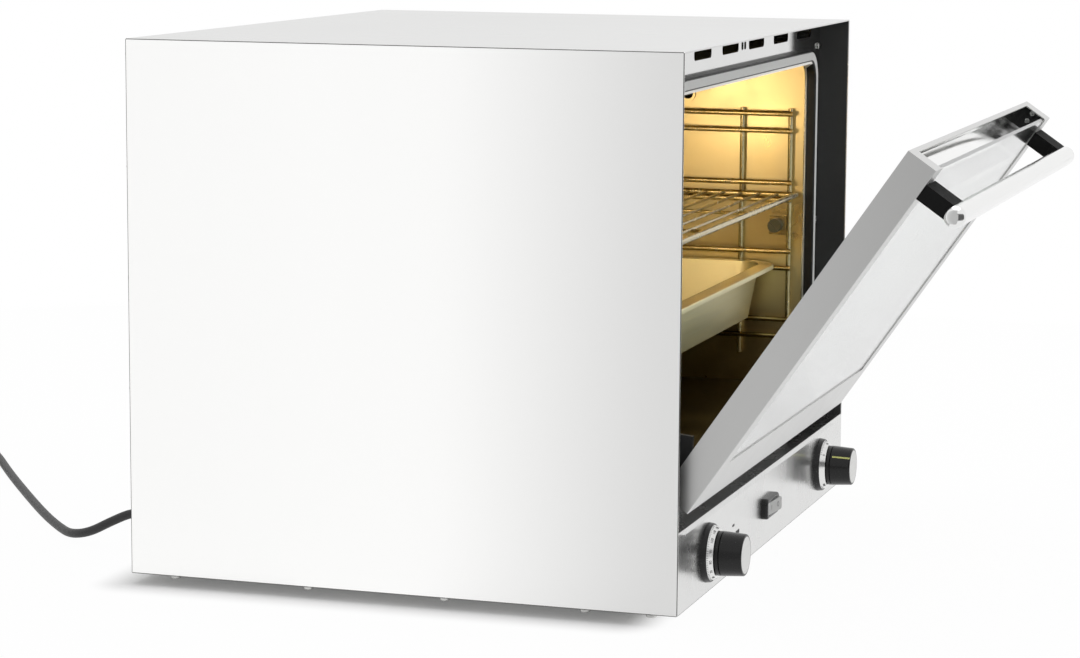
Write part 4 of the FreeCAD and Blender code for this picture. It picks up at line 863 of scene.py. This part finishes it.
def paperMaterial():
    # White paper that keeps the shadow beside the casing and fades into the white backdrop
    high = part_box("base_plate")[1]
    material = bpy.data.materials.new("whitePaper")
    material.use_nodes = True
    tree = material.node_tree
    tree.nodes.clear()
    place = addNode(tree, "ShaderNodeTexCoord", {}, {}).outputs["Object"]
    # the paper is painted white from just inside the casing's front, so no shadow shows in front:
    # painted light
    middle = (high.y + studio["shadowFront"]) / 2
    centred = addNode(tree, "ShaderNodeVectorMath", {"operation": "SUBTRACT"},
                      {0: place, 1: (0.0, middle, 0.0)})
    folded = addNode(tree, "ShaderNodeVectorMath", {"operation": "ABSOLUTE"},
                     {0: centred.outputs[0]})
    beyond = addNode(tree, "ShaderNodeVectorMath", {"operation": "SUBTRACT"},
                     {0: folded.outputs[0], 1: (high.x, high.y - middle, 0.0)})
    outside = addNode(tree, "ShaderNodeVectorMath", {"operation": "MAXIMUM"},
                      {0: beyond.outputs[0]})
    away = addNode(tree, "ShaderNodeVectorMath", {"operation": "LENGTH"}, {0: outside.outputs[0]})
    near = addNode(tree, "ShaderNodeMapRange", {"interpolation_type": "SMOOTHSTEP"},
                   {"Value": away.outputs["Value"],
                    "From Min": 0.0, "From Max": studio["shadowReach"],
                    "To Min": studio["shadowLift"][0], "To Max": studio["shadowLift"][1]})
    far = addNode(tree, "ShaderNodeMapRange", {"interpolation_type": "SMOOTHSTEP"},
                  {"Value": away.outputs["Value"],
                   "From Min": studio["paleStart"], "From Max": studio["paleEnd"]})
    fade = addNode(tree, "ShaderNodeMath", {"operation": "MAXIMUM"},
                   {0: near.outputs[0], 1: far.outputs[0]})
    shown = addNode(tree, "ShaderNodeMath", {"operation": "MULTIPLY"},
                    {0: shownRays(tree), 1: fade.outputs[0]})
    paper = addNode(tree, "ShaderNodeBsdfDiffuse", {}, {"Color": linear("FBFBFB")})
    white = addNode(tree, "ShaderNodeEmission", {}, {"Color": linear("FFFFFF"), "Strength": 1.0})
    mix = addNode(tree, "ShaderNodeMixShader", {},
                  {0: shown.outputs[0], 1: paper.outputs[0], 2: white.outputs[0]})
    addNode(tree, "ShaderNodeOutputMaterial", {}, {"Surface": mix.outputs[0]})
    return material


def buildFloor():
    mesh = bpy.data.meshes.new("floor")
    shape = bmesh.new()
    bmesh.ops.create_circle(shape, cap_ends=True, segments=studio["floorSides"],
                            radius=studio["floorRadius"])
    shape.to_mesh(mesh)
    shape.free()
    mesh.materials.append(paperMaterial())
    floor = bpy.data.objects.new("floor", mesh)
    scene.collection.objects.link(floor)


lamps = {
    "topSoftbox": {"place": (0.5, -0.5, 3.2), "aim": (0, 0, 0.3), "size": (3.0, 3.0), "watts": 40,
                   "colour": "FFFFFF"},
    "ovenLamp": {"place": (-0.285, -0.045, 0.438), "aim": (0.3, -0.07, 0.38), "size": (0.09, 0.09),
                 "watts": 0.29, "colour": "FFEAC4"},
}


def addLamp(name, lamp):
    light = bpy.data.lights.new(name, "AREA")
    light.shape = "RECTANGLE"
    light.size, light.size_y = lamp["size"]
    light.energy = lamp["watts"]
    light.color = linear(lamp["colour"])[:3]
    holder = bpy.data.objects.new(name, light)
    scene.collection.objects.link(holder)
    look = Vector(lamp["aim"]) - Vector(lamp["place"])
    turn = look.to_track_quat("-Z", "Y").to_matrix().to_4x4()
    holder.matrix_world = Matrix.Translation(lamp["place"]) @ turn


flags = {
    # the side panel's shading towards the front, and its end on the floor
    "sideFlag": {"middle": (-0.52, -0.09, 0.361), "size": (0.42, 0.718), "tilt": 90, "yaw": 90,
                 "shade": ((-0.24, 0.69), (0.0, 0.985))},
    "groundFlag": {"middle": (-0.446, -0.09, 0.002), "size": (0.42, 0.146), "tilt": 0, "yaw": 90,
                   "shade": ((-0.24, 0.69), (0.0, 0.985))},
    # the shading of the door's edge
    "doorFlag": {"middle": (-0.52, -0.47, 0.361), "size": (0.34, 0.718), "tilt": 90, "yaw": 90,
                 "shade": ((-0.52, 0.58), (-0.30, 0.76))},
    # the dark band in the polished parts
    "cameraFlag": {"middle": (-0.86, -1.16, 0.42), "size": (2.4, 0.84), "tilt": 90, "yaw": -40,
                   "shade": ((-3.0, 0.12), (0.0, 0.12))},
    # keeps the dials' dark reflection out of the door
    "dialFlag": {"middle": (0.0, -0.329, 0.089), "size": (0.68, 0.064), "tilt": 0, "yaw": 0,
                 "shade": ((-3.0, 0.93), (0.0, 0.93))},
}


def buildFlag(name, flag):
    # A card seen only in reflections, shaded from one place along Y to another
    mesh = bpy.data.meshes.new(name)
    shape = bmesh.new()
    bmesh.ops.create_grid(shape, x_segments=1, y_segments=1, size=0.5)
    bmesh.ops.scale(shape, vec=(*flag["size"], 1.0), verts=shape.verts)
    for turn, axis in (("tilt", "X"), ("yaw", "Z")):
        matrix = Matrix.Rotation(math.radians(flag[turn]), 3, axis)
        bmesh.ops.rotate(shape, matrix=matrix, verts=shape.verts)
    bmesh.ops.translate(shape, vec=flag["middle"], verts=shape.verts)
    shape.to_mesh(mesh)
    shape.free()
    material = bpy.data.materials.new(name)
    material.use_nodes = True
    tree = material.node_tree
    tree.nodes.clear()
    place = addNode(tree, "ShaderNodeTexCoord", {}, {}).outputs["Object"]
    along = addNode(tree, "ShaderNodeSeparateXYZ", {}, {0: place})
    (start, dim), (end, bright) = flag["shade"]
    level = addNode(tree, "ShaderNodeMapRange", {},
                    {"Value": along.outputs["Y"], "From Min": start, "From Max": end,
                     "To Min": dim, "To Max": bright})
    card = addNode(tree, "ShaderNodeEmission", {},
                   {"Color": linear("FFFFFF"), "Strength": level.outputs[0]})
    addNode(tree, "ShaderNodeOutputMaterial", {}, {"Surface": card.outputs[0]})
    mesh.materials.append(material)
    holder = bpy.data.objects.new(name, mesh)
    scene.collection.objects.link(holder)
    holder.visible_camera = False
    holder.visible_diffuse = False
    holder.visible_shadow = False
    holder.visible_transmission = False


buildWorld()
buildFloor()
for name, flag in flags.items():
    buildFlag(name, flag)
for name, lamp in lamps.items():
    addLamp(name, lamp)
print("studio lit")

print("scene ready")
